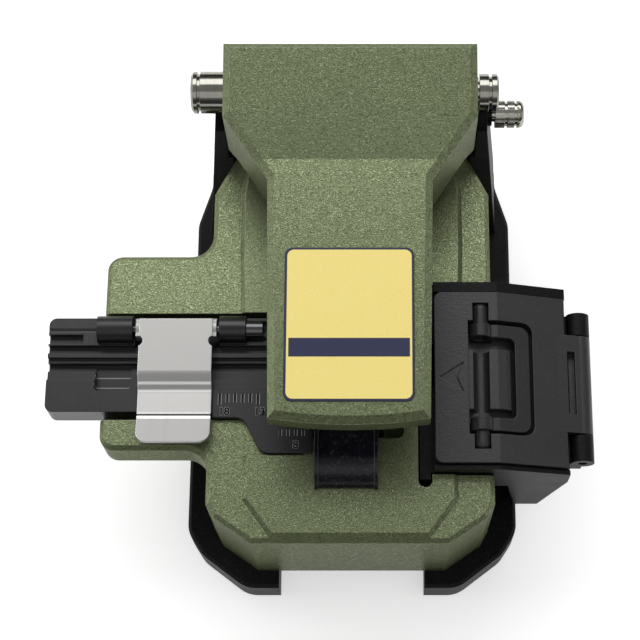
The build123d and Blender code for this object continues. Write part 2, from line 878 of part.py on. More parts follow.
def clamp_profile():
    """Side view of the sprung sheet: flat, step down, low flat, and a flap that turns up."""
    upper = [
        (clamp_rear_y, clamp_top_z),
        (clamp_step_top_y, clamp_top_z),
        (clamp_step_foot_y, clamp_low_top_z),
        (clamp_bend_y, clamp_low_top_z),
        (clamp_front_y, clamp_low_top_z + clamp_flap_rise),
    ]
    with BuildSketch(Plane.YZ.offset(clamp_left_x)) as outline:
        with BuildLine():
            Polyline(*upper, *((y, z - clamp_thickness) for y, z in reversed(upper)), close=True)
        make_face()
        inner = [corner for corner in outline.vertices() if clamp_front_y < corner.X < clamp_rear_y]
        fillet(inner, clamp_bend_radius)
    return outline.sketch


# Fibre clamp of spring steel, with an ear bent down on each side of the hinge
with BuildPart() as clamp_plate:
    extrude(clamp_profile(), amount=clamp_right_x - clamp_left_x)
    front_corners = clamp_plate.edges().sort_by(Axis.Y)[:8].filter_by(
        lambda edge: abs((edge @ 0).X - (edge @ 1).X) < near and edge.length < clamp_thickness + near
    )
    fillet(front_corners, clamp_flap_corner)
    for ear_x in (clamp_left_x - clamp_ear_overhang, clamp_right_x + clamp_ear_overhang - clamp_thickness):
        ear_range = (ear_x, ear_x + clamp_thickness)
        rod_along_x(clamp_pin_y, clamp_pin_z, clamp_ear_radius, ear_range)
        block(
            ear_range, (clamp_pin_y - clamp_ear_radius, clamp_rear_y),
            (clamp_pin_z, clamp_top_z - clamp_thickness / 2),
        )
    rod_along_x(clamp_pin_y, clamp_pin_z, clamp_pin_radius + running_gap, (-beyond, 0), Mode.SUBTRACT)
    relief_set_out = clamp_relief_radius - clamp_relief_bite
    for relief_x in (clamp_left_x - relief_set_out, clamp_right_x + relief_set_out):
        rod_along_z(relief_x, clamp_relief_y, clamp_relief_radius, (fibre_z, beyond), Mode.SUBTRACT)
finish(clamp_plate, "clamp_plate")

# Rubber strip that presses the fibre into the channel
with BuildPart() as clamp_rubber:
    block(
        (clamp_left_x + rubber_strip_inset, clamp_right_x - rubber_strip_inset),
        (-fibre_pad_half_width, fibre_pad_half_width),
        (fibre_z + fibre_pad_lift, clamp_top_z - clamp_thickness),
    )
finish(clamp_rubber, "clamp_rubber")

def ring_groove(radius, depth, x):
    """A narrow groove turned into a part of the hinge shaft."""
    with BuildSketch(Plane.YZ.offset(x - hinge_groove_width / 2)) as ring:
        with Locations((hinge_y, hinge_z)):
            Circle(radius + depth)
            Circle(radius - depth, mode=Mode.SUBTRACT)
    extrude(ring.sketch, amount=hinge_groove_width, mode=Mode.SUBTRACT)


# Hinge shaft with its turned left head and a snap groove
with BuildPart() as hinge_shaft:
    head_right_x = -(arm_rear_half_width + running_gap)
    rod_along_x(hinge_y, hinge_z, hinge_rod_radius, (head_right_x, hinge_right_x - hinge_cap_reach))
    rod_along_x(hinge_y, hinge_z, hinge_head_radius, (hinge_left_x, head_right_x))
    ring_groove(hinge_head_radius, hinge_groove_depth, hinge_left_x + hinge_head_groove_set_in)
    chamfer(hinge_shaft.faces().sort_by(Axis.X)[0].edges(), hinge_shaft_chamfer)
finish(hinge_shaft, "hinge_shaft")

# Right end cap of the hinge shaft, grooved, pressed on beside the arm
with BuildPart() as shaft_end_cap:
    cap_left_x = arm_rear_half_width + hinge_cap_gap
    rod_along_x(hinge_y, hinge_z, hinge_cap_radius, (cap_left_x, hinge_right_x))
    rod_along_x(hinge_y, hinge_z, hinge_rod_radius, (0, hinge_right_x - hinge_cap_reach), Mode.SUBTRACT)
    ring_groove(hinge_cap_radius, hinge_groove_depth, hinge_right_x - hinge_cap_groove_set_in)
    chamfer(shaft_end_cap.faces().sort_by(Axis.X)[-1].edges(), hinge_cap_chamfer)
finish(shaft_end_cap, "shaft_end_cap")

# Plain bushes between the shaft and the arm's cheeks
with BuildPart() as hinge_bushes:
    bush_outer = hinge_rod_radius + running_gap + hinge_bush_wall
    for side in (-1, 1):
        bush_x = sorted((side * (arm_rear_half_width - arm_wall), side * arm_rear_half_width))
        rod_along_x(hinge_y, hinge_z, bush_outer, bush_x)
    rod_along_x(hinge_y, hinge_z, hinge_rod_radius + running_gap, (-beyond, beyond), Mode.SUBTRACT)
finish(hinge_bushes, "hinge_bushes")


def arm_plan(inset):
    """Plan of the arm: wide over the hinge, diagonals to a waist, then a long narrow nose."""
    front = arm_front_y + inset
    with BuildSketch(Plane.XY) as outline:
        with BuildLine():
            right = [
                (arm_front_half_width - inset, front),
                (arm_waist_half_width - inset, arm_waist_y + inset / 2),
                (arm_rear_half_width - inset, arm_shoulder_y + inset / 2),
                (arm_rear_half_width - inset, arm_rear_y - inset),
            ]
            Polyline(*both_sides(right))
            ThreePointArc(
                right[0], (0, front - arm_front_bulge), (-arm_front_half_width + inset, front)
            )
        make_face()
    return outline.sketch


def arm_side(drop, bottom_drop):
    """Side view of the arm; drop lowers its top, and bottom_drop lowers its lower edge."""
    nose = arm_front_y - arm_front_bulge - cut_start
    tail = arm_rear_y + cut_start
    with BuildSketch(Plane.YZ.offset(-beyond)) as outline:
        with BuildLine():
            Polyline(
                (nose, arm_top_at(nose) - drop),
                (arm_bend_y, arm_bend_z - drop),
                (tail, arm_top_at(tail) - drop),
                (tail, hinge_z - bottom_drop),
                (hinge_y + arm_cheek_radius, hinge_z - bottom_drop),
                (lock_y + arm_lobe_radius, lock_z - arm_lobe_radius - bottom_drop),
                (lock_y - arm_lobe_radius, lock_z - arm_lobe_radius - bottom_drop),
                (arm_cheek_bottom_y, arm_cheek_bottom_z - bottom_drop),
                (arm_waist_y, arm_waist_bottom_z - bottom_drop),
                (nose, arm_lip_z - bottom_drop),
                close=True,
            )
        make_face()
    return outline.sketch


def arm_length(y_range):
    """One length of the arm, plan and side view crossed, chamfered round its top."""
    with BuildPart() as length:
        plan = extrude(arm_plan(0), amount=beyond, mode=Mode.PRIVATE)
        side_view = extrude(arm_side(0, 0), amount=2 * beyond, mode=Mode.PRIVATE)
        add(plan & side_view)
        block((-beyond, beyond), y_range, (-beyond, beyond), Mode.INTERSECT)
        top = length.faces().filter_by(lambda face: face.normal_at().Z > 0.9)[0]
        rim = top.edges().filter_by(lambda edge: abs(edge.center().Y - arm_bend_y) > near)
        chamfer(rim, arm_chamfer)
    return length.part


arm_lengths = [arm_length((-beyond, arm_bend_y)), arm_length((arm_bend_y, beyond))]

# Arm cover: the front and rear lengths joined at the bend, then hollowed from below
with BuildPart() as arm_cover:
    add(arm_lengths)
    inner_plan = extrude(arm_plan(arm_wall), amount=beyond, mode=Mode.PRIVATE)
    inner_side = extrude(arm_side(arm_wall, arm_wall), amount=2 * beyond, mode=Mode.PRIVATE)
    add(inner_plan & inner_side, mode=Mode.SUBTRACT)
    rear_cut_half = arm_rear_half_width - arm_wall
    block(
        (-rear_cut_half, rear_cut_half), (arm_rear_y - arm_wall - cut_start, arm_rear_y + cut_start),
        (-beyond, hinge_z + arm_rear_wall_drop), Mode.SUBTRACT,
    )
    bush_outer = hinge_rod_radius + running_gap + hinge_bush_wall
    rod_along_x(hinge_y, hinge_z, bush_outer, (-beyond, beyond), Mode.SUBTRACT)
    label_y = (label_front_y + label_rear_y) / 2
    tilt = degrees(atan2(arm_bend_z - arm_front_z, arm_bend_y - arm_front_y))
    label_plane = Plane(origin=(0, label_y, arm_top_at(label_y)), x_dir=(1, 0, 0),
                        z_dir=(0, -sin(radians(tilt)), cos(radians(tilt))))
    label_length = (label_rear_y - label_front_y) / cos(radians(tilt))
    with BuildSketch(label_plane.offset(-label_pocket)) as badge:
        RectangleRounded(2 * label_half_width, label_length, label_corner)
    extrude(badge.sketch, amount=cut_start, mode=Mode.SUBTRACT)
finish(arm_cover, "arm_cover")

# Plain badge field, let into the arm's top
with BuildPart() as label_plate:
    extrude(badge.sketch, amount=label_thickness)
finish(label_plate, "label_plate")

# Anvil post: a flange under the arm's roof and a stem down to the fibre
with BuildPart() as anvil_block:
    flange_top = arm_top_at(-anvil_flange_half_depth) - arm_wall - seat_gap
    flange_x = (anvil_flange_left_x, anvil_flange_right_x)
    under = [
        (-anvil_flange_half_depth, flange_top - anvil_flange_thickness),
        (anvil_flange_half_depth, flange_top - anvil_flange_thickness),
        (anvil_flange_half_depth, arm_top_at(anvil_flange_half_depth) - arm_wall),
        (-anvil_flange_half_depth, arm_top_at(-anvil_flange_half_depth) - arm_wall),
    ]
    prism_along_x(under, flange_x)
    block(
        (anvil_left_x, anvil_right_x), (-clamp_pad_reach, clamp_pad_reach),
        (anvil_bottom_z + anvil_rubber, flange_top - root),
    )
finish(anvil_block, "anvil_block")

# Rubber face of the anvil
with BuildPart() as anvil_pad:
    block(
        (anvil_left_x, anvil_right_x), (-clamp_pad_reach, clamp_pad_reach),
        (anvil_bottom_z, anvil_bottom_z + anvil_rubber),
    )
finish(anvil_pad, "anvil_pad")


# Guide pins of the upper clamp, pressed into the arm's roof
with BuildPart() as guide_pins:
    for x in guide_x:
        roof_z = arm_top_at(-guide_pin_radius) - arm_wall - running_gap
        rod_along_z(x, 0, guide_pin_radius, (yoke_bottom_z - guide_pin_foot, roof_z))
        rod_along_z(
            x, 0, guide_pin_head_radius,
            (yoke_bottom_z - 2 * guide_pin_foot, yoke_bottom_z - guide_pin_foot),
        )
finish(guide_pins, "guide_pins")

upper_leg_x = (
    (lower_left_x[0] + upper_leg_left_inset, lower_left_x[1]),
    (lower_right_x[0], lower_right_x[1] - upper_leg_right_inset),
)

# Upper clamp: a bridge with a leg on each side of the blade and a slot round the anvil
with BuildPart() as upper_clamp:
    bridge_x = (guide_x[0] - bridge_overhang, guide_x[1] + bridge_overhang)
    rounded_block(bridge_x, (-yoke_half_depth, yoke_half_depth), (yoke_bottom_z, yoke_top_z), bridge_corner)
    block(
        (anvil_left_x - safe_gap, anvil_right_x + safe_gap),
        (-clamp_pad_reach - safe_gap, clamp_pad_reach + safe_gap), (-beyond, beyond), Mode.SUBTRACT,
    )
    for leg_x in upper_leg_x:
        block(
            leg_x, (-clamp_pad_reach, clamp_pad_reach),
            (upper_pad_bottom_z + rubber_thickness, yoke_bottom_z + root),
        )
    for x in guide_x:
        rod_along_z(x, 0, guide_pin_radius + sliding_gap, (-beyond, beyond), Mode.SUBTRACT)
finish(upper_clamp, "upper_clamp")

# Rubber faces of the upper clamp
with BuildPart() as upper_clamp_pads:
    for leg_x in upper_leg_x:
        block(
            leg_x, (-clamp_pad_reach, clamp_pad_reach),
            (upper_pad_bottom_z, upper_pad_bottom_z + rubber_thickness),
        )
finish(upper_clamp_pads, "upper_clamp_pads")


def coil(start, direction, length, radius, turns):
    """A coil spring from a start point along a direction."""
    with BuildLine() as path:
        Helix(pitch=length / turns, height=length, radius=radius, center=start, direction=direction)
    with BuildSketch(Plane(origin=path.line @ 0, z_dir=path.line % 0)) as wire:
        Circle(spring_wire)
    sweep(wire.sketch, path=path.line)


# Springs that press the upper clamp down
with BuildPart() as clamp_springs:
    spring_bottom = yoke_top_z + spring_wire + running_gap
    spring_top = arm_top_at(-clamp_spring_radius) - arm_wall - spring_wire - safe_gap
    spring_length = spring_top - spring_bottom
    for x in guide_x:
        coil((x, 0, spring_bottom), (0, 0, 1), spring_length, clamp_spring_radius, clamp_spring_turns)
finish(clamp_springs, "clamp_springs")

# Lower clamp blocks on the ledges of the well
with BuildPart() as lower_clamps:
    for clamp_x in (lower_left_x, lower_right_x):
        block(
            clamp_x, (-lower_block_half_depth, lower_block_half_depth), (well_ledge_z, lower_clamp_top_z)
        )
finish(lower_clamps, "lower_clamps")

# Rubber faces of the lower clamps
with BuildPart() as lower_clamp_pads:
    for clamp_x in (lower_left_x, lower_right_x):
        block(
            clamp_x, (-clamp_pad_reach, clamp_pad_reach),
            (lower_clamp_top_z, lower_clamp_top_z + rubber_thickness),
        )
finish(lower_clamp_pads, "lower_clamp_pads")

# Linear rail on the frame's floor, with flush screws
rail_pitch = (rail_rear_y - rail_front_y) / rail_screw_count
rail_screw_y = [rail_front_y + rail_pitch * (index + 0.5) for index in range(rail_screw_count)]
with BuildPart() as slide_rail:
    waist = rail_half_width - rail_waist_depth
    section = [
        (-rail_half_width, floor_top_z),
        (rail_half_width, floor_top_z),
        (rail_half_width, floor_top_z + rail_height * rail_groove_low),
        (waist, floor_top_z + rail_height * rail_groove_middle),
        (rail_half_width, floor_top_z + rail_height * rail_groove_high),
        (rail_half_width, rail_top_z),
        (-rail_half_width, rail_top_z),
        (-rail_half_width, floor_top_z + rail_height * rail_groove_high),
        (-waist, floor_top_z + rail_height * rail_groove_middle),
        (-rail_half_width, floor_top_z + rail_height * rail_groove_low),
    ]
    prism_along_y(section, (rail_front_y, rail_rear_y))
    for y in rail_screw_y:
        head_room = (rail_top_z - screw_head_height, rail_top_z + cut_start)
        rod_along_z(0, y, screw_head_radius, head_room, Mode.SUBTRACT)
        rod_along_z(0, y, screw_radius, (floor_top_z, rail_top_z), Mode.SUBTRACT)
finish(slide_rail, "slide_rail")

# Flush screws of the rail
with BuildPart() as rail_screws:
    for y in rail_screw_y:
        cap_screw(0, y, rail_top_z, floor_top_z)
finish(rail_screws, "rail_screws")

# Carriage: an inverted trough that runs on the rail
with BuildPart() as carriage:
    block(
        (-carriage_half_width, carriage_half_width), (carriage_front_y, carriage_rear_y),
        (carriage_bottom_z, carriage_top_z),
    )
    block(
        (-rail_half_width - sliding_gap, rail_half_width + sliding_gap),
        (-beyond, beyond), (-beyond, rail_top_z + sliding_gap),
        Mode.SUBTRACT,
    )
    block(
        (blade_x - blade_thickness / 2 - safe_gap, blade_x + blade_thickness / 2 + safe_gap),
        (blade_rest_y - blade_radius, blade_rest_y + blade_radius + cut_start),
        (blade_z - blade_radius - safe_gap, beyond), Mode.SUBTRACT,
    )
    bore_y = (carriage_rear_y - stop_bore_depth, carriage_rear_y + cut_start)
    rod_along_y(0, return_spring_z, stop_pin_radius + safe_gap, bore_y, Mode.SUBTRACT)
finish(carriage, "carriage")

bracket_right_x = blade_x - blade_thickness / 2 - bracket_gap
bracket_left_x = bracket_right_x - bracket_thickness

bracket_foot_top_z = carriage_top_z + bracket_foot_thickness
bracket_screw_y = (
    blade_rest_y - bracket_foot_half + bracket_screw_inset,
    blade_rest_y + bracket_foot_half - bracket_screw_inset,
)

# Blade bracket: an upright cheek on the carriage with a round head at the blade's axle
with BuildPart() as blade_bracket:
    side = [
        (blade_rest_y - bracket_foot_half, carriage_top_z),
        (blade_rest_y + bracket_foot_half, carriage_top_z),
        (blade_rest_y + bracket_head_radius, blade_z),
        (blade_rest_y - bracket_head_radius, blade_z),
    ]
    prism_along_x(side, (bracket_left_x, bracket_right_x))
    rod_along_x(blade_rest_y, blade_z, bracket_head_radius, (bracket_left_x, bracket_right_x))
    block(
        (bracket_foot_inset - carriage_half_width, bracket_right_x),
        (blade_rest_y - bracket_foot_half, blade_rest_y + bracket_foot_half),
        (carriage_top_z, bracket_foot_top_z),
    )
    rod_along_x(blade_rest_y, blade_z, blade_bore - running_gap, (-beyond, beyond), Mode.SUBTRACT)
    for y in bracket_screw_y:
        rod_along_z(bracket_screw_x, y, bracket_screw_radius, (carriage_top_z, beyond), Mode.SUBTRACT)
finish(blade_bracket, "blade_bracket")

# Two small screws hold the bracket to the carriage
with BuildPart() as bracket_screws:
    for y in bracket_screw_y:
        rod_along_z(bracket_screw_x, y, bracket_screw_radius, (carriage_top_z, bracket_foot_top_z))
        screw_head = (bracket_foot_top_z, bracket_foot_top_z + bracket_screw_head_height)
        rod_along_z(bracket_screw_x, y, bracket_screw_head_radius, screw_head)
finish(bracket_screws, "bracket_screws")

# Axle of the blade, with a flat head on the free side
with BuildPart() as blade_axle:
    axle_radius = blade_bore - running_gap
    head_left_x = blade_x + blade_thickness / 2 + safe_gap / 2
    rod_along_x(blade_rest_y, blade_z, axle_radius, (bracket_left_x, head_left_x))
    rod_along_x(
        blade_rest_y, blade_z, axle_head_radius, (head_left_x, head_left_x + axle_head_thickness)
    )
    block(
        (head_left_x + axle_slot_floor, beyond), (-beyond, beyond),
        (blade_z - axle_slot_half_width, blade_z + axle_slot_half_width), Mode.SUBTRACT,
    )
finish(blade_axle, "blade_axle")

# Round blade with a bevelled cutting edge
with BuildPart() as blade_disc:
    with BuildSketch(Plane.XY) as half_section:
        with BuildLine():
            inner_radius = blade_bore + running_gap
            Polyline(
                (blade_x - blade_thickness / 2, inner_radius),
                (blade_x - blade_thickness / 2, blade_radius - blade_bevel),
                (blade_x, blade_radius),
                (blade_x + blade_thickness / 2, blade_radius - blade_bevel),
                (blade_x + blade_thickness / 2, inner_radius),
                close=True,
            )
        make_face()
    revolve(half_section.sketch, axis=Axis.X)
blade_disc.part.move(Location((0, blade_rest_y, blade_z)))
finish(blade_disc, "blade_disc")


def pad_profile(rise):
    """Side view of the push pad: rounded nose, arched top and a lower tail."""
    with BuildSketch(Plane.YZ) as outline:
        with BuildLine():
            nose = (pad_front_y - rise / 2, pad_bottom_z)
            crown = (pad_front_y + pad_crown_run, pad_top_z + rise)
            tail = (pad_rear_y, pad_rear_z + rise)
            brow = (pad_front_y + pad_brow_run - rise / 3, pad_bottom_z + pad_brow_rise + rise / 2)
            ThreePointArc(nose, brow, crown)
            Line(crown, tail)
            Line(tail, (pad_rear_y, pad_bottom_z))
            Line((pad_rear_y, pad_bottom_z), nose)
        make_face()
    return outline.sketch


# Push pad with a thin flange at each end and a neck down to the carriage
with BuildPart() as push_pad:
    body_sketch = pad_profile(0)
    extrude(body_sketch.moved(Location((pad_left_x, 0, 0))), amount=pad_right_x - pad_left_x)
    for flange_x in (pad_left_x, pad_right_x - pad_flange):
        extrude(pad_profile(pad_flange_rise).moved(Location((flange_x, 0, 0))), amount=pad_flange)
    block(
        (pad_neck_left_x, pad_neck_right_x), (pad_neck_front_y, pad_neck_rear_y),
        (carriage_top_z, pad_bottom_z + root),
    )
finish(push_pad, "push_pad")

# Return spring between the carriage and the stop at the rear of the rail
with BuildPart() as spring_stop:
    stop_y = rail_rear_y + stop_set_back
    stop_depth = (stop_y, stop_y + stop_thickness)
    block((-stop_half_width, stop_half_width), stop_depth, (floor_top_z, carriage_top_z))
    rod_along_y(0, return_spring_z, stop_pin_radius, (stop_y - stop_pin_reach, stop_y + root))
finish(spring_stop, "spring_stop")

with BuildPart() as return_spring:
    spring_start = carriage_rear_y + spring_wire + running_gap
    spring_reach = stop_y - spring_start - spring_wire - running_gap
    start = (0, spring_start, return_spring_z)
    coil(start, (0, 1, 0), spring_reach, return_spring_radius, return_spring_turns)
finish(return_spring, "return_spring")


def bin_section(inset):
    """Section of the bin across X and Z: a shallow tray that drops into a tapering pocket."""
    left = bin_step_x if inset == 0 else bin_step_x + inset
    rim = lid_top_at(left) - rim_drop
    return [
        (left, bin_tray_bottom_z + inset),
        (bin_pocket_left_x + inset, bin_tray_bottom_z + inset),
        (bin_foot_left_x + inset, bin_bottom_z + inset),
        (bin_foot_right_x - inset / 2, bin_bottom_z + inset),
        (bin_right_x - inset, bin_taper_z),
        (bin_right_x - inset, lid_top_at(bin_right_x) - rim_drop),
        (lid_fold_x, rim),
        (left, rim),
    ]


# Scrap bin: tray, pocket, tongue on the left and two outer hinge knuckles on the right
with BuildPart() as bin_box:
    prism_along_y(bin_section(0), (bin_front_y, bin_rear_y))
    block(
        (bin_left_x, bin_step_x + bin_join), (bin_front_y, bin_rear_y), (bin_tray_bottom_z, bin_tongue_top_z)
    )
    block(
        (bin_left_x, bin_tongue_right_x), (bin_tongue_front_y, bin_front_y + bin_join),
        (bin_tray_bottom_z, bin_tongue_top_z),
    )
    inside_y = (bin_front_y + bin_end_wall, bin_rear_y - bin_end_wall)
    prism_along_y(bin_section(bin_wall), inside_y, Mode.SUBTRACT)
    under = lid_thickness + seat_gap
    lid_room = [
        (lid_left_x - lid_gap, lid_top_z - under),
        (lid_fold_x, lid_top_z - under),
        (bin_hinge_x, lid_top_at(bin_hinge_x) - under),
        (bin_hinge_x, lid_top_z + cut_start),
        (lid_left_x - lid_gap, lid_top_z + cut_start),
    ]
    prism_along_y(lid_room, (lid_front_y - lid_gap, lid_rear_y + lid_gap), Mode.SUBTRACT)
    block(
        (bin_left_x - cut_start, bin_step_x + bin_wall + root),
        (-fibre_window_half_width, fibre_window_half_width),
        (fibre_window_bottom_z, beyond), Mode.SUBTRACT,
    )
    ledge_top_z = bin_hinge_z - bin_knuckle_radius - hinge_ledge_drop
    for knuckle_y in (rear_knuckle_y, front_knuckle_y):
        rod_along_y(bin_hinge_x, bin_hinge_z, bin_knuckle_radius, knuckle_y)
        block((bin_right_x - bin_wall, bin_hinge_x), knuckle_y, (ledge_top_z, bin_hinge_z))
    block(
        (bin_right_x - bin_wall, bin_hinge_x), (front_knuckle_y[0], rear_knuckle_y[1]),
        (ledge_top_z - hinge_ledge_thickness, ledge_top_z),
    )
    rod_along_y(bin_hinge_x, bin_hinge_z, bin_hinge_pin_radius, (-beyond, beyond), Mode.SUBTRACT)
finish(bin_box, "bin_box")

# Pin of the lid's hinge
with BuildPart() as bin_hinge_pin:
    hinge_pin_y = (front_knuckle_y[0] + pin_end_inset, rear_knuckle_y[1] - pin_end_inset)
    rod_along_y(bin_hinge_x, bin_hinge_z, bin_hinge_pin_radius, hinge_pin_y)
finish(bin_hinge_pin, "bin_hinge_pin")


def lid_section(top_drop, thickness, left, right):
    """Section of a skin that follows the lid's fold, between two places along X."""
    corners = [(left, lid_top_at(left) - top_drop)]
    if left < lid_fold_x < right:
        corners.append((lid_fold_x, lid_top_z - top_drop))
    corners.append((right, lid_top_at(right) - top_drop))
    return corners + [(x, z - thickness) for x, z in reversed(corners)]


def lid_slab(top_drop, thickness, x_range, y_range, corner):
    """A slab that follows the lid's fold, with its right-hand corners rounded in plan."""
    depth = y_range[1] - y_range[0]
    width = x_range[1] - x_range[0] + 2 * corner
    with BuildSketch(Plane.XZ.offset(-y_range[1])) as section:
        with BuildLine():
            Polyline(*lid_section(top_drop, thickness, *x_range), close=True)
        make_face()
    with BuildSketch(Plane.XY) as plan:
        with Locations((x_range[1] - width / 2, (y_range[0] + y_range[1]) / 2)):
            RectangleRounded(width, depth, corner)
    slab = extrude(section.sketch, amount=depth, mode=Mode.PRIVATE)
    return slab & extrude(plan.sketch, amount=beyond, mode=Mode.PRIVATE)


# Bin lid: folded skin with a tub for the handle, a raised pad and one hinge knuckle
with BuildPart() as bin_lid:
    prism_along_y(lid_section(0, lid_thickness, lid_left_x, lid_right_x), (lid_front_y, lid_rear_y))
    fillet(bin_lid.edges().filter_by(Axis.Z).group_by(Axis.X)[0], lid_corner)
    prism_along_y(
        lid_section(0, recess_depth + recess_wall, recess_left_x - recess_wall, recess_right_x + recess_wall),
        (recess_front_y - recess_wall, recess_rear_y + recess_wall),
    )
    recess_x = (recess_left_x, recess_right_x)
    recess_y = (recess_front_y, recess_rear_y)
    recess = lid_slab(-cut_start, recess_depth + cut_start, recess_x, recess_y, recess_corner)
    add(recess, mode=Mode.SUBTRACT)
    pad_section = lid_section(
        lid_pad_drop, recess_depth - lid_pad_drop, recess_left_x - safe_gap, lid_pad_right_x
    )
    prism_along_y(pad_section, (lid_pad_front_y, lid_pad_rear_y))
    pad_edge = bin_lid.edges().filter_by(Axis.Y).filter_by_position(
        Axis.X, lid_pad_right_x - running_gap, lid_pad_right_x + running_gap
    )
    fillet(pad_edge.sort_by(Axis.Z)[-1], lid_pad_round)
    pin_y = (handle_pin_front_y, handle_pin_rear_y)
    rod_along_y(handle_pivot_x, handle_pivot_z, handle_pin_radius, pin_y, Mode.SUBTRACT)
    block(
        (handle_pivot_x - handle_pin_radius, handle_pivot_x + handle_pin_radius), pin_y,
        (handle_pivot_z, beyond), Mode.SUBTRACT,
    )
    swing = handle_eye_radius + safe_gap
    for arm_y in handle_arms_y:
        swing_y = (arm_y[0] - safe_gap, arm_y[1] + safe_gap)
        rod_along_y(handle_pivot_x, handle_pivot_z, swing, swing_y, Mode.SUBTRACT)
    arrow = [
        (arrow_tip_x, arrow_y),
        (arrow_tail_x, arrow_y + arrow_half_width),
        (arrow_tail_x - arrow_notch, arrow_y),
        (arrow_tail_x, arrow_y - arrow_half_width),
    ]
    prism(Plane.XY.offset(lid_top_z - arrow_depth), arrow, beyond, Mode.SUBTRACT)
    lid_knuckle_y = (front_knuckle_y[1] + knuckle_gap, rear_knuckle_y[0] - knuckle_gap)
    rod_along_y(bin_hinge_x, bin_hinge_z, bin_knuckle_radius, lid_knuckle_y)
    web_root_x = lid_right_x - lid_web_root
    web = [
        (web_root_x, lid_top_at(web_root_x)),
        (bin_hinge_x, bin_hinge_z + bin_knuckle_radius),
        (bin_hinge_x, bin_hinge_z),
        (bin_right_x + safe_gap, bin_hinge_z),
        (bin_right_x + safe_gap, lid_edge_z - lid_thickness),
        (web_root_x, lid_edge_z - lid_thickness / 2),
    ]
    prism_along_y(web, lid_knuckle_y)
    block(
        (lid_right_x + safe_gap, window_right_x), (window_front_y, window_rear_y),
        (bin_hinge_z + window_floor, beyond), Mode.SUBTRACT,
    )
    pin_bore = bin_hinge_pin_radius + running_gap
    rod_along_y(bin_hinge_x, bin_hinge_z, pin_bore, (-beyond, beyond), Mode.SUBTRACT)
finish(bin_lid, "bin_lid")

# Two domed pins that carry the bail handle
with BuildPart() as handle_pins:
    front_pin_y = (handle_pin_front_y, handle_front_y + handle_pin_bite)
    rear_pin_y = (handle_rear_y - handle_pin_bite, handle_pin_rear_y)
    for pin_y in (front_pin_y, rear_pin_y):
        rod_along_y(handle_pivot_x, handle_pivot_z, handle_pin_radius, pin_y)
    outer_faces = handle_pins.faces().filter_by(Axis.Y).sort_by(Axis.Y)
    fillet(outer_faces[0].edges() + outer_faces[-1].edges(), handle_pin_dome)
finish(handle_pins, "handle_pins")

# Bail handle lying in the lid's tub
with BuildPart() as lid_handle:
    top_drop = lid_top_z - handle_pivot_z - handle_thickness / 2
    handle_x = (handle_pivot_x, handle_bar_right_x)
    handle_y = (handle_front_y, handle_rear_y)
    add(lid_slab(top_drop, handle_thickness, handle_x, handle_y, handle_corner))
    inner_x = (handle_pivot_x, handle_bar_left_x)
    inner_y = (handle_front_y + handle_arm_width, handle_rear_y - handle_arm_width)
    add(lid_slab(0, lid_top_z, inner_x, inner_y, handle_inner_corner), mode=Mode.SUBTRACT)
    for arm_y in handle_arms_y:
        rod_along_y(handle_pivot_x, handle_pivot_z, handle_eye_radius, arm_y)
    eye_bore = handle_pin_radius + running_gap
    rod_along_y(handle_pivot_x, handle_pivot_z, eye_bore, (-beyond, beyond), Mode.SUBTRACT)
finish(lid_handle, "lid_handle")

# Bush of the lock plunger, standing out of the ear a little
with BuildPart() as lock_bush:
    rod_along_x(lock_y, lock_z, lock_bush_radius, (ear_inner_x, ear_top_half_width + lock_bush_reach))
    rod_along_x(lock_y, lock_z, lock_pin_radius + running_gap, (0, beyond), Mode.SUBTRACT)
finish(lock_bush, "lock_bush")

# Sliding pin of the lock, its nose just clear of the arm's cheek
with BuildPart() as lock_plunger:
    nose_x = arm_rear_half_width + lock_nose_gap
    rod_along_x(lock_y, lock_z, lock_pin_radius, (nose_x, lock_knob_left_x + lock_pin_bite))
finish(lock_plunger, "lock_plunger")

# Knurled knob of the lock: straight teeth in three bands and a domed end
with BuildPart() as lock_knob:
    rod_along_x(lock_y, lock_z, lock_knob_radius, (lock_knob_left_x, lock_knob_right_x))
    fillet(lock_knob.faces().sort_by(Axis.X)[-1].edges(), knob_dome)
    with BuildSketch(Plane.YZ.offset(lock_knob_left_x)) as teeth:
        with Locations((lock_y, lock_z)):
            with PolarLocations(lock_knob_radius, knurl_count):
                Rectangle(2 * knurl_depth, knurl_depth)
    extrude(teeth.sketch, amount=lock_knob_length - knob_dome, mode=Mode.SUBTRACT)
    for groove_x in (lock_knob_left_x + knob_groove_pitch, lock_knob_left_x + 2 * knob_groove_pitch):
        with BuildSketch(Plane.YZ.offset(groove_x)) as ring:
            with Locations((lock_y, lock_z)):
                Circle(lock_knob_radius + knurl_depth)
                Circle(lock_knob_radius - knurl_depth, mode=Mode.SUBTRACT)
        extrude(ring.sketch, amount=knob_groove_width, mode=Mode.SUBTRACT)
    rod_along_x(lock_y, lock_z, lock_pin_radius, (0, lock_knob_left_x + lock_pin_bite), Mode.SUBTRACT)
finish(lock_knob, "lock_knob")
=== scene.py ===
"""Looks of a bench fibre cleaver: finishes for every piece, scale marks with numerals, and a studio stage."""

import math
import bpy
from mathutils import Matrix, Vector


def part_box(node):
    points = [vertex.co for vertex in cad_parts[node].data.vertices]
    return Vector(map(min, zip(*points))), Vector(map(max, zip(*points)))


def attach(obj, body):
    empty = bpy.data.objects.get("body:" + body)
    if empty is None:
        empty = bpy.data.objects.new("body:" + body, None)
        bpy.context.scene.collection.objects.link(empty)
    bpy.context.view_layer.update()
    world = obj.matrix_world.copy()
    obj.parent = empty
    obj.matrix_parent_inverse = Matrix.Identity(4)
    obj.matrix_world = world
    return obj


bl_info = {
    "name": "Fibre Cleaver Looks",
    "version": (1, 0, 0),
    "blender": (4, 5, 0),
    "location": "3D View > Sidebar > Cleaver",
    "description": "Finishes a packed fibre cleaver and sets up its studio stage",
    "category": "Object",
}

import bpy
import numpy as np
from bpy.props import FloatProperty, FloatVectorProperty, PointerProperty

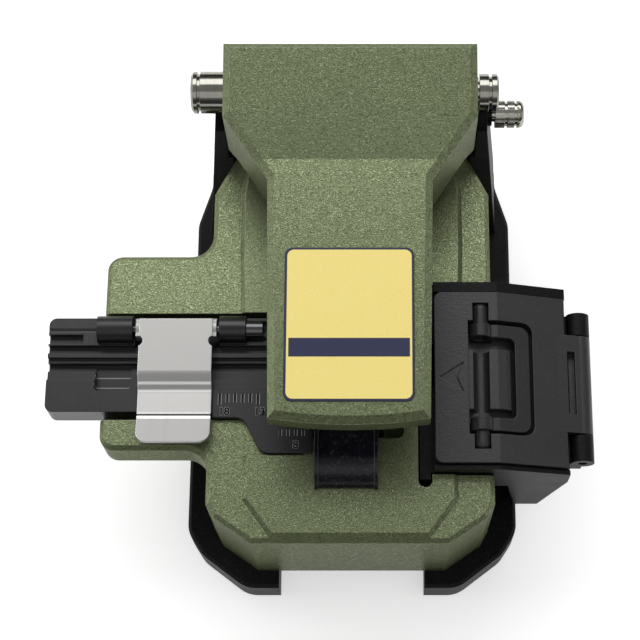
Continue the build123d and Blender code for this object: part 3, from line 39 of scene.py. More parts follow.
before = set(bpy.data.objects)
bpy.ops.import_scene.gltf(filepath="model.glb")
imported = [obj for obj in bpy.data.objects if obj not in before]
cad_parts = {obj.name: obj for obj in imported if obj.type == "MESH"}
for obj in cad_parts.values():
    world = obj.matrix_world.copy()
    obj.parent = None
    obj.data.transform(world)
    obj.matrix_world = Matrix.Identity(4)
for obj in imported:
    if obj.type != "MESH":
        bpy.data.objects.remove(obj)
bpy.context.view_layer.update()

MM = 0.001


def linear(code):
    """The linear colour of a hexadecimal screen colour."""
    parts = [int(code[index:index + 2], 16) / 255 for index in (1, 3, 5)]
    return tuple(part / 12.92 if part <= 0.04045 else ((part + 0.055) / 1.055) ** 2.4 for part in parts)


def colour_property(name, description, code):
    """A colour property whose default is given as a screen colour."""
    return FloatVectorProperty(
        name=name, description=description, default=linear(code), subtype="COLOR", size=3, min=0, max=1
    )


def length_property(name, description, millimetres):
    """A length property whose default is given in millimetres."""
    return FloatProperty(
        name=name, description=description, default=millimetres * MM, subtype="DISTANCE", unit="LENGTH",
        precision=5,
    )


class CleaverPaint(bpy.types.PropertyGroup):
    """Colours and grain of the painted castings."""

    green: colour_property("Green", "Body colour of the castings", "#737c5d")
    light_speck: colour_property("Light speck", "Colour of the light grains in the paint", "#aab28f")
    dark_speck: colour_property("Dark speck", "Colour of the dark grains in the paint", "#47503a")
    gleam: FloatProperty(
        name="Gleam", description="How metallic the blasted finish is", default=0.7, subtype="FACTOR",
        min=0, max=1,
    )
    grain: length_property("Grain", "Size of one grain of the sandy paint", 0.15)
    edge: length_property("Edge", "Radius of the soft edges of the castings", 0.12)


class CleaverTrim(bpy.types.PropertyGroup):
    """Colours of the black, bright and printed parts."""

    frame_black: colour_property("Frame black", "Colour of the base frame", "#101011")
    holder_black: colour_property("Holder black", "Colour of the fibre holder", "#121214")
    bin_black: colour_property("Bin black", "Colour of the scrap bin", "#0e0e10")
    lid_black: colour_property("Lid black", "Colour of the bin's lid", "#262628")
    pad_black: colour_property("Pad black", "Colour of the push pad", "#13121a")
    badge_gold: colour_property("Badge gold", "Ground of the badge", "#ffe880")
    badge_navy: colour_property("Badge navy", "Border and band of the badge", "#1b2147")
    steel: colour_property("Steel", "Colour of bare steel", "#b0afad")


class CleaverStage(bpy.types.PropertyGroup):
    """Camera and lamps."""

    lens: FloatProperty(name="Lens", description="Focal length for a 36 mm sensor", default=98.6, min=10)
    tilt: FloatProperty(
        name="Tilt", description="Angle of the camera from looking straight down",
        default=math.radians(19.0), subtype="ANGLE", unit="ROTATION",
    )
    shift: FloatProperty(name="Shift", description="Sideways shift of the frame", default=-0.0875)
    key_power: FloatProperty(
        name="Key", description="Power of the wide lamp high at the back", default=3.3, unit="POWER", min=0
    )
    front_power: FloatProperty(
        name="Front", description="Power of the high lamp in front", default=0.35, unit="POWER", min=0
    )
    fill_power: FloatProperty(
        name="Fill", description="Power of the low lamp on the left", default=0.6, unit="POWER", min=0
    )
    sky: FloatProperty(
        name="Sky", description="Strength of the light from above the horizon", default=0.38, min=0
    )
    horizon: FloatProperty(
        name="Horizon", description="Strength of the light at the horizon", default=0.06, min=0
    )


class NodeBench:
    """Adds nodes to one tree and links them."""

    def __init__(self, tree):
        self.tree = tree

    def add(self, kind, inputs=None, **settings):
        """Adds a node, sets its attributes, and fills or links its inputs by name or number."""
        node = self.tree.nodes.new(kind)
        for name, value in settings.items():
            setattr(node, name, value)
        for name, value in (inputs or {}).items():
            self.feed(node.inputs[name], value)
        return node

    def feed(self, socket, value):
        """Links a socket to a socket, or sets the value of one."""
        if isinstance(value, bpy.types.NodeSocket):
            self.tree.links.new(value, socket)
        elif isinstance(value, tuple) and len(value) == 3 and socket.type == "RGBA":
            socket.default_value = (*value, 1.0)
        else:
            socket.default_value = value

    def math(self, operation, *values, clamp=False):
        """The result of a Math node."""
        node = self.add("ShaderNodeMath", dict(enumerate(values)), operation=operation)
        node.use_clamp = clamp
        return node.outputs[0]

    def steps(self, value, low, high, new_low=0.0, new_high=1.0):
        """A value carried smoothly from one range to another."""
        node = self.add(
            "ShaderNodeMapRange",
            {"Value": value, "From Min": low, "From Max": high, "To Min": new_low, "To Max": new_high},
            interpolation_type="SMOOTHSTEP",
        )
        return node.outputs[0]

    def blend(self, factor, first, second):
        """A colour between two colours."""
        node = self.add("ShaderNodeMix", data_type="RGBA")
        for socket, value in zip((node.inputs[0], node.inputs[6], node.inputs[7]), (factor, first, second)):
            self.feed(socket, value)
        return node.outputs[2]

    def noise(self, vector, size, detail=2.0, roughness=0.5):
        """A noise pattern whose features are about one size wide, in metres."""
        node = self.add(
            "ShaderNodeTexNoise",
            {"Vector": vector, "Scale": 1.0 / size, "Detail": detail, "Roughness": roughness},
        )
        return node.outputs[0]

    def place(self):
        """The object coordinates, which are metres in the object's own frame."""
        return self.add("ShaderNodeTexCoord").outputs["Object"]

    def group(self, tree, inputs):
        """A node group placed in this tree."""
        node = self.tree.nodes.new("ShaderNodeGroup")
        node.node_tree = tree
        for name, value in inputs.items():
            self.feed(node.inputs[name], value)
        return node


def new_group(name, inputs, outputs):
    """An empty node group with named sockets, and the bench and end nodes to build it with."""
    tree = bpy.data.node_groups.new(name, "ShaderNodeTree")
    for socket_name, kind in inputs:
        tree.interface.new_socket(name=socket_name, in_out="INPUT", socket_type=kind)
    for socket_name, kind in outputs:
        tree.interface.new_socket(name=socket_name, in_out="OUTPUT", socket_type=kind)
    bench = NodeBench(tree)
    return tree, bench, tree.nodes.new("NodeGroupInput").outputs, tree.nodes.new("NodeGroupOutput").inputs


FLOAT, VECTOR = "NodeSocketFloat", "NodeSocketVector"


def sandy_grain():
    """Group: grains of two sizes, as a height and as masks of light and dark specks."""
    name = "Sandy grain"
    if name in bpy.data.node_groups:
        return bpy.data.node_groups[name]
    tree, bench, given, made = new_group(
        name, [("Vector", VECTOR), ("Size", FLOAT)], [("Height", FLOAT), ("Light", FLOAT), ("Dark", FLOAT)]
    )
    scale = bench.math("DIVIDE", 1.0, given["Size"])
    fine = bench.add(
        "ShaderNodeTexNoise", {"Vector": given["Vector"], "Scale": scale, "Detail": 1.5}
    ).outputs[0]
    coarse_scale = bench.math("MULTIPLY", scale, 0.42)
    coarse = bench.add(
        "ShaderNodeTexNoise", {"Vector": given["Vector"], "Scale": coarse_scale, "Detail": 1.0}
    ).outputs[0]
    both = bench.math("ADD", bench.math("MULTIPLY", fine, 0.7), bench.math("MULTIPLY", coarse, 0.3))
    bench.feed(made["Height"], both)
    bench.feed(made["Light"], bench.steps(both, 0.52, 0.68))
    bench.feed(made["Dark"], bench.steps(both, 0.48, 0.33))
    return tree


def edge_wear_and_highlight():
    """Group: how far a rounded normal leaves the flat one, broken up by noise, as a mask for edges painted as
    wear and as painted highlight.
    """
    name = "Edge wear"
    if name in bpy.data.node_groups:
        return bpy.data.node_groups[name]
    tree, bench, given, made = new_group(
        name, [("Rounded", VECTOR), ("Vector", VECTOR), ("Break up", FLOAT)], [("Edge", FLOAT)]
    )
    flat = bench.add("ShaderNodeNewGeometry").outputs["Normal"]
    along = bench.add("ShaderNodeVectorMath", {0: given["Rounded"], 1: flat}, operation="DOT_PRODUCT")
    bend = bench.math("SUBTRACT", 1.0, along.outputs["Value"])
    spots = bench.noise(given["Vector"], 1.1 * MM, 3.0)
    worn = bench.math("MULTIPLY", spots, given["Break up"])
    bench.feed(made["Edge"], bench.steps(bench.math("SUBTRACT", bend, worn), 0.0, 0.12))
    return tree


def handling():
    """Group: broad smudges that shift colour and roughness a little."""
    name = "Handling"
    if name in bpy.data.node_groups:
        return bpy.data.node_groups[name]
    tree, bench, given, made = new_group(name, [("Vector", VECTOR), ("Amount", FLOAT)], [("Shift", FLOAT)])
    broad = bench.noise(given["Vector"], 9.0 * MM, 3.0, 0.6)
    centred = bench.math("SUBTRACT", broad, 0.5)
    bench.feed(made["Shift"], bench.math("MULTIPLY", centred, given["Amount"]))
    return tree


def drawn_lines():
    """Group: fine lines drawn along one axis, made by noise stretched along it."""
    name = "Drawn lines"
    if name in bpy.data.node_groups:
        return bpy.data.node_groups[name]
    tree, bench, given, made = new_group(name, [("Vector", VECTOR), ("Stretch", VECTOR)], [("Height", FLOAT)])
    pulled = bench.add(
        "ShaderNodeVectorMath", {0: given["Vector"], 1: given["Stretch"]}, operation="MULTIPLY"
    ).outputs[0]
    bench.feed(made["Height"], bench.noise(pulled, 1.0, 3.0, 0.6))
    return tree


def inside_rectangle():
    """Group: 1 inside a rectangle in X and Y and 0 outside, by distances to its sides."""
    name = "Inside rectangle"
    if name in bpy.data.node_groups:
        return bpy.data.node_groups[name]
    tree, bench, given, made = new_group(
        name,
        [("Vector", VECTOR), ("Centre X", FLOAT), ("Centre Y", FLOAT), ("Half X", FLOAT), ("Half Y", FLOAT),
         ("Corner", FLOAT)],
        [("Mask", FLOAT)],
    )
    parts = bench.add("ShaderNodeSeparateXYZ", {0: given["Vector"]}).outputs
    reach = []
    for axis in ("X", "Y"):
        away = bench.math("ABSOLUTE", bench.math("SUBTRACT", parts[axis], given["Centre " + axis]))
        inner = bench.math("SUBTRACT", given["Half " + axis], given["Corner"])
        reach.append(bench.math("MAXIMUM", bench.math("SUBTRACT", away, inner), 0.0))
    square = bench.math("ADD", bench.math("POWER", reach[0], 2.0), bench.math("POWER", reach[1], 2.0))
    distance = bench.math("SUBTRACT", bench.math("SQRT", square), given["Corner"])
    bench.feed(made["Mask"], bench.steps(distance, 0.02 * MM, -0.02 * MM))
    return tree


def rectangle(bench, place, across, along, corner):
    """Mask of a rectangle; across and along are its centre and half width, in metres."""
    return bench.group(inside_rectangle(), {
        "Vector": place, "Centre X": across[0], "Half X": across[1], "Centre Y": along[0], "Half Y": along[1],
        "Corner": corner,
    }).outputs[0]


def strip(bench, value, centre, outer, inner):
    """Mask of a strip about a centre, fading from its inner to its outer half width, in millimetres."""
    away = bench.math("ABSOLUTE", bench.math("SUBTRACT", value, centre * MM))
    return bench.steps(away, outer * MM, inner * MM)


def new_material(name):
    """A material with an empty tree, its bench and its Principled shader."""
    material = bpy.data.materials.new(name)
    material.use_nodes = True
    tree = material.node_tree
    tree.nodes.clear()
    bench = NodeBench(tree)
    shader = bench.add("ShaderNodeBsdfPrincipled")
    output = bench.add("ShaderNodeOutputMaterial")
    tree.links.new(shader.outputs[0], output.inputs[0])
    return material, bench, shader


def finish_surface(bench, shader, height, depth, radius):
    """Feeds a height through Bump over softly rounded edges, and gives the rounded normal."""
    rounded = bench.add("ShaderNodeBevel", {"Radius": radius}, samples=6).outputs[0]
    bump = bench.add(
        "ShaderNodeBump", {"Height": height, "Strength": 1.0, "Distance": depth, "Normal": rounded}
    )
    bench.feed(shader.inputs["Normal"], bump.outputs[0])
    return rounded


def painted_casting(name, settings):
    """Sandy olive paint: specks in colour and relief, with edges painted lighter as wear and as painted
    highlight.
    """
    material, bench, shader = new_material(name)
    place = bench.place()
    grain = bench.group(sandy_grain(), {"Vector": place, "Size": settings.grain}).outputs
    smudge = bench.group(handling(), {"Vector": place, "Amount": 0.1}).outputs[0]
    rounded = finish_surface(bench, shader, grain["Height"], 0.036 * MM, settings.edge)
    edge = bench.group(edge_wear_and_highlight(), {"Rounded": rounded, "Vector": place, "Break up": 0.05}).outputs[0]
    light = bench.blend(grain["Light"], tuple(settings.green), tuple(settings.light_speck))
    dark = bench.blend(bench.math("MULTIPLY", grain["Dark"], 0.8), light, tuple(settings.dark_speck))
    # Edges painted lighter, as wear and as painted highlight
    lit_and_worn_edges = bench.blend(bench.math("MULTIPLY", edge, 0.3), dark, tuple(settings.light_speck))
    bench.feed(shader.inputs["Base Color"], lit_and_worn_edges)
    base = bench.math("MULTIPLY_ADD", grain["Light"], -0.1, 0.33)
    bench.feed(shader.inputs["Roughness"], bench.math("ADD", base, smudge))
    shader.inputs["Metallic"].default_value = settings.gleam
    shader.inputs["Specular Tint"].default_value = (0.3, 0.3, 0.28, 1.0)
    return material


# The holder's pocket, painted dark as shade, in millimetres: centre and half width along X, centre and half
# width along Y
HOLDER_POCKET_SHADE = (-31.4, 2.35, -1.45, 1.75)
POCKET_CORNER = 0.3
# Places of the painted highlights on the pocket's two lips along Y in millimetres
POCKET_LIP_HIGHLIGHTS = (-1.14, -2.5)


def paint_pocket_shade_and_highlights(bench, place, pocket_shade, shade):
    """Paints shade over a rectangle and draws two painted highlights on its lips along X in it."""
    centre_x, half_x, centre_y, half_y = pocket_shade
    across, along = (centre_x * MM, half_x * MM), (centre_y * MM, half_y * MM)
    inside = rectangle(bench, place, across, along, POCKET_CORNER * MM)
    y = bench.add("ShaderNodeSeparateXYZ", {0: place}).outputs["Y"]
    both = bench.math("MAXIMUM", *(strip(bench, y, lip_highlight, 0.1, 0.05) for lip_highlight in POCKET_LIP_HIGHLIGHTS))
    lip_highlights = bench.math("MULTIPLY", both, inside)
    # Painted shade inside the pocket, with painted highlights on its two lips
    return bench.blend(lip_highlights, bench.blend(inside, shade, linear("#060607")), linear("#8a8a8c"))


def moulded(
    name, colour, roughness, grain, depth=0.02, edge=0.15, lift=0.06, metallic=0.0, gloss=0.5, pocket_shade=None
):
    """Moulded or anodised black: a fine grain, smudges and edges painted lighter as wear and as painted
    highlight.

    Grain, depth and edge are in millimetres; lift is how much paler the edges are painted, as wear and as
    painted highlight.
    """
    material, bench, shader = new_material(name)
    place = bench.place()
    pattern = bench.group(sandy_grain(), {"Vector": place, "Size": grain * MM}).outputs
    smudge = bench.group(handling(), {"Vector": place, "Amount": 0.22}).outputs[0]
    rounded = finish_surface(bench, shader, pattern["Height"], depth * MM, edge * MM)
    worn = bench.group(edge_wear_and_highlight(), {"Rounded": rounded, "Vector": place, "Break up": 0.04}).outputs[0]
    colour = tuple(colour)
    pale_speck_and_highlight = tuple(min(1.0, part + lift) for part in colour)
    speck = bench.blend(bench.math("MULTIPLY", pattern["Light"], 0.12), colour, pale_speck_and_highlight)
    # Edges painted paler, as wear and as painted highlight
    shade = bench.blend(bench.math("MULTIPLY", worn, 0.35), speck, pale_speck_and_highlight)
    # Painted shade in the holder's pocket and painted highlights on its lips
    if pocket_shade:
        shade = paint_pocket_shade_and_highlights(bench, place, pocket_shade, shade)
    bench.feed(shader.inputs["Base Color"], shade)
    bench.feed(shader.inputs["Roughness"], bench.math("ADD", smudge, roughness))
    shader.inputs["Metallic"].default_value = metallic
    shader.inputs["Specular IOR Level"].default_value = gloss
    return material


# Stretches of drawn lines, as pattern steps a metre along X, Y and Z
PIN_LINES = (60.0, 2500.0, 2500.0)
CHROME_LINES = (1800.0, 90.0, 90.0)
SHEET_LINES = (1500.0, 60.0, 300.0)


def bare_metal(name, colour, roughness, stretch, depth=0.004, edge=0.08, streak=0.08):
    """Bare metal with lines drawn along the axis that has the smallest stretch.

    Depth and edge are in millimetres; streak is how far the lines lighten and darken the colour.
    """
    material, bench, shader = new_material(name)
    place = bench.place()
    lines = bench.group(drawn_lines(), {"Vector": place, "Stretch": stretch}).outputs[0]
    smudge = bench.group(handling(), {"Vector": place, "Amount": 0.14}).outputs[0]
    finish_surface(bench, shader, lines, depth * MM, edge * MM)
    tint = bench.steps(lines, 0.25, 0.75, 1.0 - streak, 1.0 + streak)
    tints = bench.add("ShaderNodeCombineXYZ", {0: tint, 1: tint, 2: tint}).outputs[0]
    shade = bench.add("ShaderNodeVectorMath", {0: tuple(colour), 1: tints}, operation="MULTIPLY").outputs[0]
    bench.feed(shader.inputs["Base Color"], shade)
    rough = bench.math("ADD", bench.math("MULTIPLY_ADD", lines, 0.12, roughness - 0.06), smudge)
    bench.feed(shader.inputs["Roughness"], bench.math("MAXIMUM", rough, 0.05))
    shader.inputs["Metallic"].default_value = 1.0
    return material


# Places of the painted highlights on the clamp plate's bends and of the painted shade in its crease, along Y
# in millimetres
CLAMP_BEND_HIGHLIGHTS = (-2.85, -3.78, -7.35)
CLAMP_CREASE_SHADE = -7.0
# Where the clamp plate's low flat and its front flap begin, fading along Y, in millimetres; the low flat is
# painted lighter and the flap darker, as painted light and shade
LOW_FLAT_LIGHT = (-3.7, -3.9)
FRONT_FLAP_SHADE = (-7.1, -7.2)


def spring_sheet(trim):
    """Satin spring steel with painted highlights on its bends and edges, painted light on its low flat, and
    painted shade on its front flap and in its crease.
    """
    material, bench, shader = new_material("spring_sheet")
    place = bench.place()
    lines = bench.group(drawn_lines(), {"Vector": place, "Stretch": SHEET_LINES}).outputs[0]
    rounded = finish_surface(bench, shader, lines, 0.001 * MM, 0.2 * MM)
    edge = bench.group(edge_wear_and_highlight(), {"Rounded": rounded, "Vector": place, "Break up": 0.01}).outputs[0]
    along = bench.add("ShaderNodeSeparateXYZ", {0: place}).outputs["Y"]
    # Painted highlights along the bends, joined to the painted edge highlights
    for bend in CLAMP_BEND_HIGHLIGHTS:
        edge = bench.math("MAXIMUM", edge, strip(bench, along, bend, 0.2, 0.14))
    shade = bench.blend(bench.steps(lines, 0.25, 0.75, 0.0, 0.1), tuple(trim.steel), linear("#c4c4c2"))
    # Painted light on the low flat and painted shade on the front flap
    for (start, end), code in ((LOW_FLAT_LIGHT, "#c4c3c1"), (FRONT_FLAP_SHADE, "#9a9998")):
        shade = bench.blend(bench.steps(along, start * MM, end * MM), shade, linear(code))
    # Bends and edges painted near white as highlights
    shade = bench.blend(edge, shade, linear("#fdfdfd"))
    # Painted shade in the crease
    crease_shade = strip(bench, along, CLAMP_CREASE_SHADE, 0.16, 0.11)
    bench.feed(shader.inputs["Base Color"], bench.blend(crease_shade, shade, linear("#3a3a3a")))
    bench.feed(shader.inputs["Roughness"], bench.math("MULTIPLY_ADD", lines, 0.08, 0.46))
    shader.inputs["Metallic"].default_value = 0.9
    return material


def dress(material, *nodes):
    """Gives one material to CAD nodes."""
    for name in nodes:
        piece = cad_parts[name]
        piece.data.materials.clear()
        piece.data.materials.append(material)


def new_piece(name, mesh, material):
    """An object at the origin from a mesh that holds its own place."""
    piece = bpy.data.objects.new(name, mesh)
    bpy.context.scene.collection.objects.link(piece)
    mesh.materials.clear()
    mesh.materials.append(material)
    return piece


class CleaverCastings(bpy.types.Operator):
    """Paints the body and the arm"""

    bl_idname = "cleaver.castings"
    bl_label = "Painted castings"

    def execute(self, context):
        settings = context.scene.cleaver_paint
        dress(painted_casting("olive_paint", settings), "main_body", "arm_cover")
        return {"FINISHED"}


class CleaverFrame(bpy.types.Operator):
    """Finishes the black frame, its sole and its screws"""

    bl_idname = "cleaver.frame"
    bl_label = "Frame and sole"

    def execute(self, context):
        trim = context.scene.cleaver_trim
        dress(moulded("frame_satin", trim.frame_black, 0.5, 0.3, 0.03, 0.2, gloss=0.12), "base_frame")
        dress(moulded("sole_rubber", linear("#151515"), 0.8, 0.5, 0.05), "rubber_sole")
        dress(
            moulded("black_screw", linear("#1c1c1e"), 0.35, 0.2, 0.005, 0.1, metallic=1.0),
            "base_screws", "holder_screws", "rail_screws", "bracket_screws", "bin_hinge_pin", "lock_bush",
        )
        return {"FINISHED"}


# Places of the tick rows in millimetres: centre and half width along X, centre and half width along Y
TICK_ROWS = (
    (-14.6, 2.7, -4.5, 0.6), (-17.1, 0.3, -4.65, 0.75), (-12.1, 0.3, -4.65, 0.75), (-7.6, 1.7, -9.18, 0.43)
)
TICK_CORNER = 0.02
# Shift that puts a tick at its place in each whole millimetre, kept above zero
TICK_SHIFT = 100.6
# Each numeral with the place of its centre, in millimetres, and the size of all
NUMERALS = (("18", -16.5, -6.35), ("13", -11.85, -6.35), ("8", -7.1, -10.8))
NUMERAL_SIZE = 1.45
# Height over the plate and swell of the numerals' lips, a pale painted highlight, and of their strokes,
# painted dark as shade, in millimetres
LIP_HIGHLIGHT_RISE, LIP_HIGHLIGHT_SWELL = 0.002, 0.085
STROKE_RISE, STROKE_SWELL = 0.006, 0.04


def scale_finish(trim):
    """Anodised plate with engraved ticks, one each millimetre in two rows, with painted shade in the grooves
    and painted highlights on their lips.
    """
    material, bench, shader = new_material("engraved_scale")
    place = bench.place()
    parts = bench.add("ShaderNodeSeparateXYZ", {0: place}).outputs
    phase = bench.math("FRACT", bench.math("MULTIPLY_ADD", parts["X"], 1 / MM, TICK_SHIFT))
    across = bench.math("ABSOLUTE", bench.math("SUBTRACT", phase, 0.5))
    rows = None
    for centre_x, half_x, centre_y, half_y in TICK_ROWS:
        across_row, along_row = (centre_x * MM, half_x * MM), (centre_y * MM, half_y * MM)
        row = rectangle(bench, place, across_row, along_row, TICK_CORNER * MM)
        rows = row if rows is None else bench.math("MAXIMUM", rows, row)
    shaded_groove = bench.math("MULTIPLY", bench.steps(across, 0.17, 0.13), rows)
    lip_highlight = bench.math("MULTIPLY", bench.steps(across, 0.27, 0.2), rows)
    grain = bench.group(sandy_grain(), {"Vector": place, "Size": 0.25 * MM}).outputs
    height = bench.math("SUBTRACT", bench.math("MULTIPLY", grain["Height"], 0.1), shaded_groove)
    finish_surface(bench, shader, height, 0.1 * MM, 0.12 * MM)
    black = tuple(trim.holder_black)
    speckled = bench.blend(bench.math("MULTIPLY", grain["Light"], 0.12), black, linear("#48484a"))
    # Painted highlights on the lips of the ticks
    with_lip_highlights = bench.blend(lip_highlight, speckled, linear("#98989b"))
    # Painted shade in the tick grooves
    bench.feed(shader.inputs["Base Color"], bench.blend(shaded_groove, with_lip_highlights, linear("#050506")))
    bench.feed(shader.inputs["Roughness"], bench.math("MULTIPLY_ADD", shaded_groove, 0.4, 0.42))
    return material


class CleaverHolder(bpy.types.Operator):
    """Finishes the fibre holder and engraves the scale plate"""

    bl_idname = "cleaver.holder"
    bl_label = "Holder and scale"

    def execute(self, context):
        trim = context.scene.cleaver_trim
        # The holder's pocket gets painted shade and painted highlights on its lips
        dress(
            moulded("holder_anodised", trim.holder_black, 0.36, 0.3, 0.01, 0.14, pocket_shade=HOLDER_POCKET_SHADE),
            "fibre_holder",
        )
        dress(scale_finish(trim), "scale_plate")
        # Each numeral is a pale lip painted as a highlight under a stroke painted dark as shade in the
        # engraving
        lip_highlight = moulded("numeral_lip_highlight", linear("#a9a9ac"), 0.5, 0.2, 0.005)
        shaded_groove = moulded("numeral_groove_shade", linear("#060607"), 0.7, 0.2, 0.005, gloss=0.2)
        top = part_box("scale_plate")[1].z
        for text, x, y in NUMERALS:
            place = np.array([x * MM, y * MM, top])
            lip_highlight_place = place + (0, 0, LIP_HIGHLIGHT_RISE * MM)
            stroke_place = place + (0, 0, STROKE_RISE * MM)
            self.numeral("scale_lip_highlight_" + text, text, lip_highlight_place, LIP_HIGHLIGHT_SWELL * MM, lip_highlight)
            self.numeral("scale_numeral_" + text, text, stroke_place, STROKE_SWELL * MM, shaded_groove)
        return {"FINISHED"}

    def numeral(self, name, text, place, swell, material):
        """One plain number on the scale plate, made fuller by a swell."""
        curve = bpy.data.curves.new(name + "_curve", "FONT")
        curve.body = text
        curve.size = NUMERAL_SIZE * MM
        curve.offset = swell
        curve.align_x = "CENTER"
        curve.align_y = "CENTER"
        curve.extrude = 0.01 * MM
        source = bpy.data.objects.new(name + "_source", curve)
        mesh = bpy.data.meshes.new_from_object(source)
        bpy.data.objects.remove(source)
        count = len(mesh.vertices)
        points = np.empty(count * 3)
        mesh.vertices.foreach_get("co", points)
        points = points.reshape(-1, 3) + place
        mesh.vertices.foreach_set("co", points.ravel())
        mesh.name = name
        piece = new_piece(name, mesh, material)
        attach(piece, "base")


class CleaverClamp(bpy.types.Operator):
    """Finishes the sprung fibre clamp, its rubber and its pin"""

    bl_idname = "cleaver.clamp"
    bl_label = "Fibre clamp"

    def execute(self, context):
        trim = context.scene.cleaver_trim
        dress(spring_sheet(trim), "clamp_plate")
        dress(
            moulded("black_rubber", linear("#161616"), 0.75, 0.4, 0.03),
            "clamp_rubber", "anvil_pad", "upper_clamp_pads", "lower_clamp_pads",
        )
        dress(bare_metal("ground_pin", trim.steel, 0.25, PIN_LINES), "guide_pins", "blade_axle")
        dress(bare_metal("dark_pin", linear("#58585a"), 0.2, PIN_LINES), "clamp_hinge_pin")
        return {"FINISHED"}


class CleaverHinge(bpy.types.Operator):
    """Finishes the chromed shaft, its cap and the lock"""

    bl_idname = "cleaver.hinge"
    bl_label = "Hinge and lock"

    def execute(self, context):
        chrome = bare_metal("polished_chrome", linear("#929189"), 0.14, CHROME_LINES, 0.001, 0.1)
        dress(chrome, "hinge_shaft", "shaft_end_cap")
        knurled = bare_metal("knurled_chrome", linear("#a5a49c"), 0.12, CHROME_LINES, 0.001, 0.1)
        dress(knurled, "lock_plunger", "lock_knob")
        dress(bare_metal("turned_brass", linear("#c9a45c"), 0.3, (1500.0, 80.0, 80.0)), "hinge_bushes")
        return {"FINISHED"}


# The badge's border and plain band in millimetres
BORDER_WIDTH = 0.28
FIELD_CORNER = 0.85
BAND_INSET = 0.55
BAND_Y = -1.9
BAND_HALF = 1.2
BAND_CORNER = 0.05


def badge_finish(trim):
    """Matte gold ground with a thin dark border and a plain dark band."""
    material, bench, shader = new_material("badge_print")
    place = bench.place()
    low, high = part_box("label_plate")
    half_x, half_y = (high.x - low.x) / 2, (high.y - low.y) / 2
    middle_x, middle_y = (high.x + low.x) / 2, (high.y + low.y) / 2

    border_x, border_y = half_x - BORDER_WIDTH * MM, half_y - BORDER_WIDTH * MM
    field = rectangle(bench, place, (middle_x, border_x), (middle_y, border_y), FIELD_CORNER * MM)
    border = bench.math("SUBTRACT", 1.0, field)
    band_x, band_along = half_x - BAND_INSET * MM, (BAND_Y * MM, BAND_HALF * MM)
    band = rectangle(bench, place, (middle_x, band_x), band_along, BAND_CORNER * MM)
    print_mask = bench.math("MAXIMUM", border, band)
    fibre = bench.noise(place, 0.16 * MM, 2.0, 0.6)
    gold = bench.blend(bench.steps(fibre, 0.35, 0.7), tuple(trim.badge_gold), linear("#ffee98"))
    bench.feed(shader.inputs["Base Color"], bench.blend(print_mask, gold, tuple(trim.badge_navy)))
    finish_surface(bench, shader, fibre, 0.004 * MM, 0.05 * MM)
    bench.feed(shader.inputs["Roughness"], bench.steps(fibre, 0.2, 0.8, 0.38, 0.55))
    shader.inputs["Metallic"].default_value = 0.0
    return material


class CleaverBadge(bpy.types.Operator):
    """Prints the plain badge field"""

    bl_idname = "cleaver.badge"
    bl_label = "Badge"

    def execute(self, context):
        dress(badge_finish(context.scene.cleaver_trim), "label_plate")
        return {"FINISHED"}


class CleaverBin(bpy.types.Operator):
    """Finishes the scrap bin, its lid and its handle"""

    bl_idname = "cleaver.scrap_bin"
    bl_label = "Scrap bin"

    def execute(self, context):
        trim = context.scene.cleaver_trim
        dress(moulded("bin_moulding", trim.bin_black, 0.45, 0.3, 0.03, 0.15, gloss=0.14), "bin_box")
        # The push pad's flange edges get a strong painted highlight through a large lift
        dress(moulded("pad_moulding", trim.pad_black, 0.3, 0.3, 0.01, 0.16, lift=0.3, gloss=0.3), "push_pad")
        dress(moulded("lid_moulding", trim.lid_black, 0.4, 0.26, 0.03, 0.15), "bin_lid")
        dress(
            moulded("handle_moulding", trim.lid_black, 0.36, 0.3, 0.02, 0.2, gloss=0.4),
            "lid_handle", "handle_pins",
        )
        return {"FINISHED"}


class CleaverMechanism(bpy.types.Operator):
    """Finishes the blade, its carriage, the clamps and the springs"""

    bl_idname = "cleaver.mechanism"
    bl_label = "Mechanism"

    def execute(self, context):
        steel = context.scene.cleaver_trim.steel
        dress(bare_metal("ground_blade", steel, 0.16, (300.0, 900.0, 900.0), 0.001, 0.04), "blade_disc")
        dress(bare_metal("ground_rail", steel, 0.28, (1800.0, 70.0, 900.0)), "slide_rail")
        dress(
            bare_metal("milled_aluminium", linear("#b8b8ba"), 0.42, (900.0, 160.0, 900.0), 0.006),
            "carriage", "blade_bracket", "spring_stop", "lower_clamps", "anvil_block",
        )
        dress(bare_metal("spring_wire", steel, 0.3, (900.0, 900.0, 900.0)), "return_spring", "clamp_springs")
        dress(moulded("clamp_anodised", linear("#242426"), 0.4, 0.3, 0.01, metallic=0.4), "upper_clamp")
        return {"FINISHED"}


def look_at(piece, target):
    """Turns a lamp towards a point."""
    way = np.asarray(target, float) - np.asarray(piece.location, float)
    piece.rotation_euler = (
        math.atan2(math.hypot(way[0], way[1]), -way[2]), 0.0, math.atan2(way[1], way[0]) - math.pi / 2
    )


# Name, place and size of each lamp, in metres
LAMPS = (
    ("key_lamp", (-0.04, 0.43, 0.57), (0.9, 0.4)),
    ("front_lamp", (0.05, -0.36, 0.55), (0.5, 0.4)),
    ("left_lamp", (-0.5, 0.05, 0.22), (0.35, 0.2)),
    ("right_lamp", (0.5, -0.05, 0.2), (0.35, 0.2)),
)
# The right lamp's power as a share of the left lamp's
RIGHT_SHARE = 0.3
# The point that every lamp faces, in metres
LAMP_TARGET = (0.0, 0.0, 0.03)
# Half width of the floor in metres, and how strongly it glows to the camera
FLOOR_HALF = 3.0
FLOOR_GLOW = 0.5
# Place of the camera in millimetres
CAMERA_PLACE = (3.33, -69.45, 246.2)


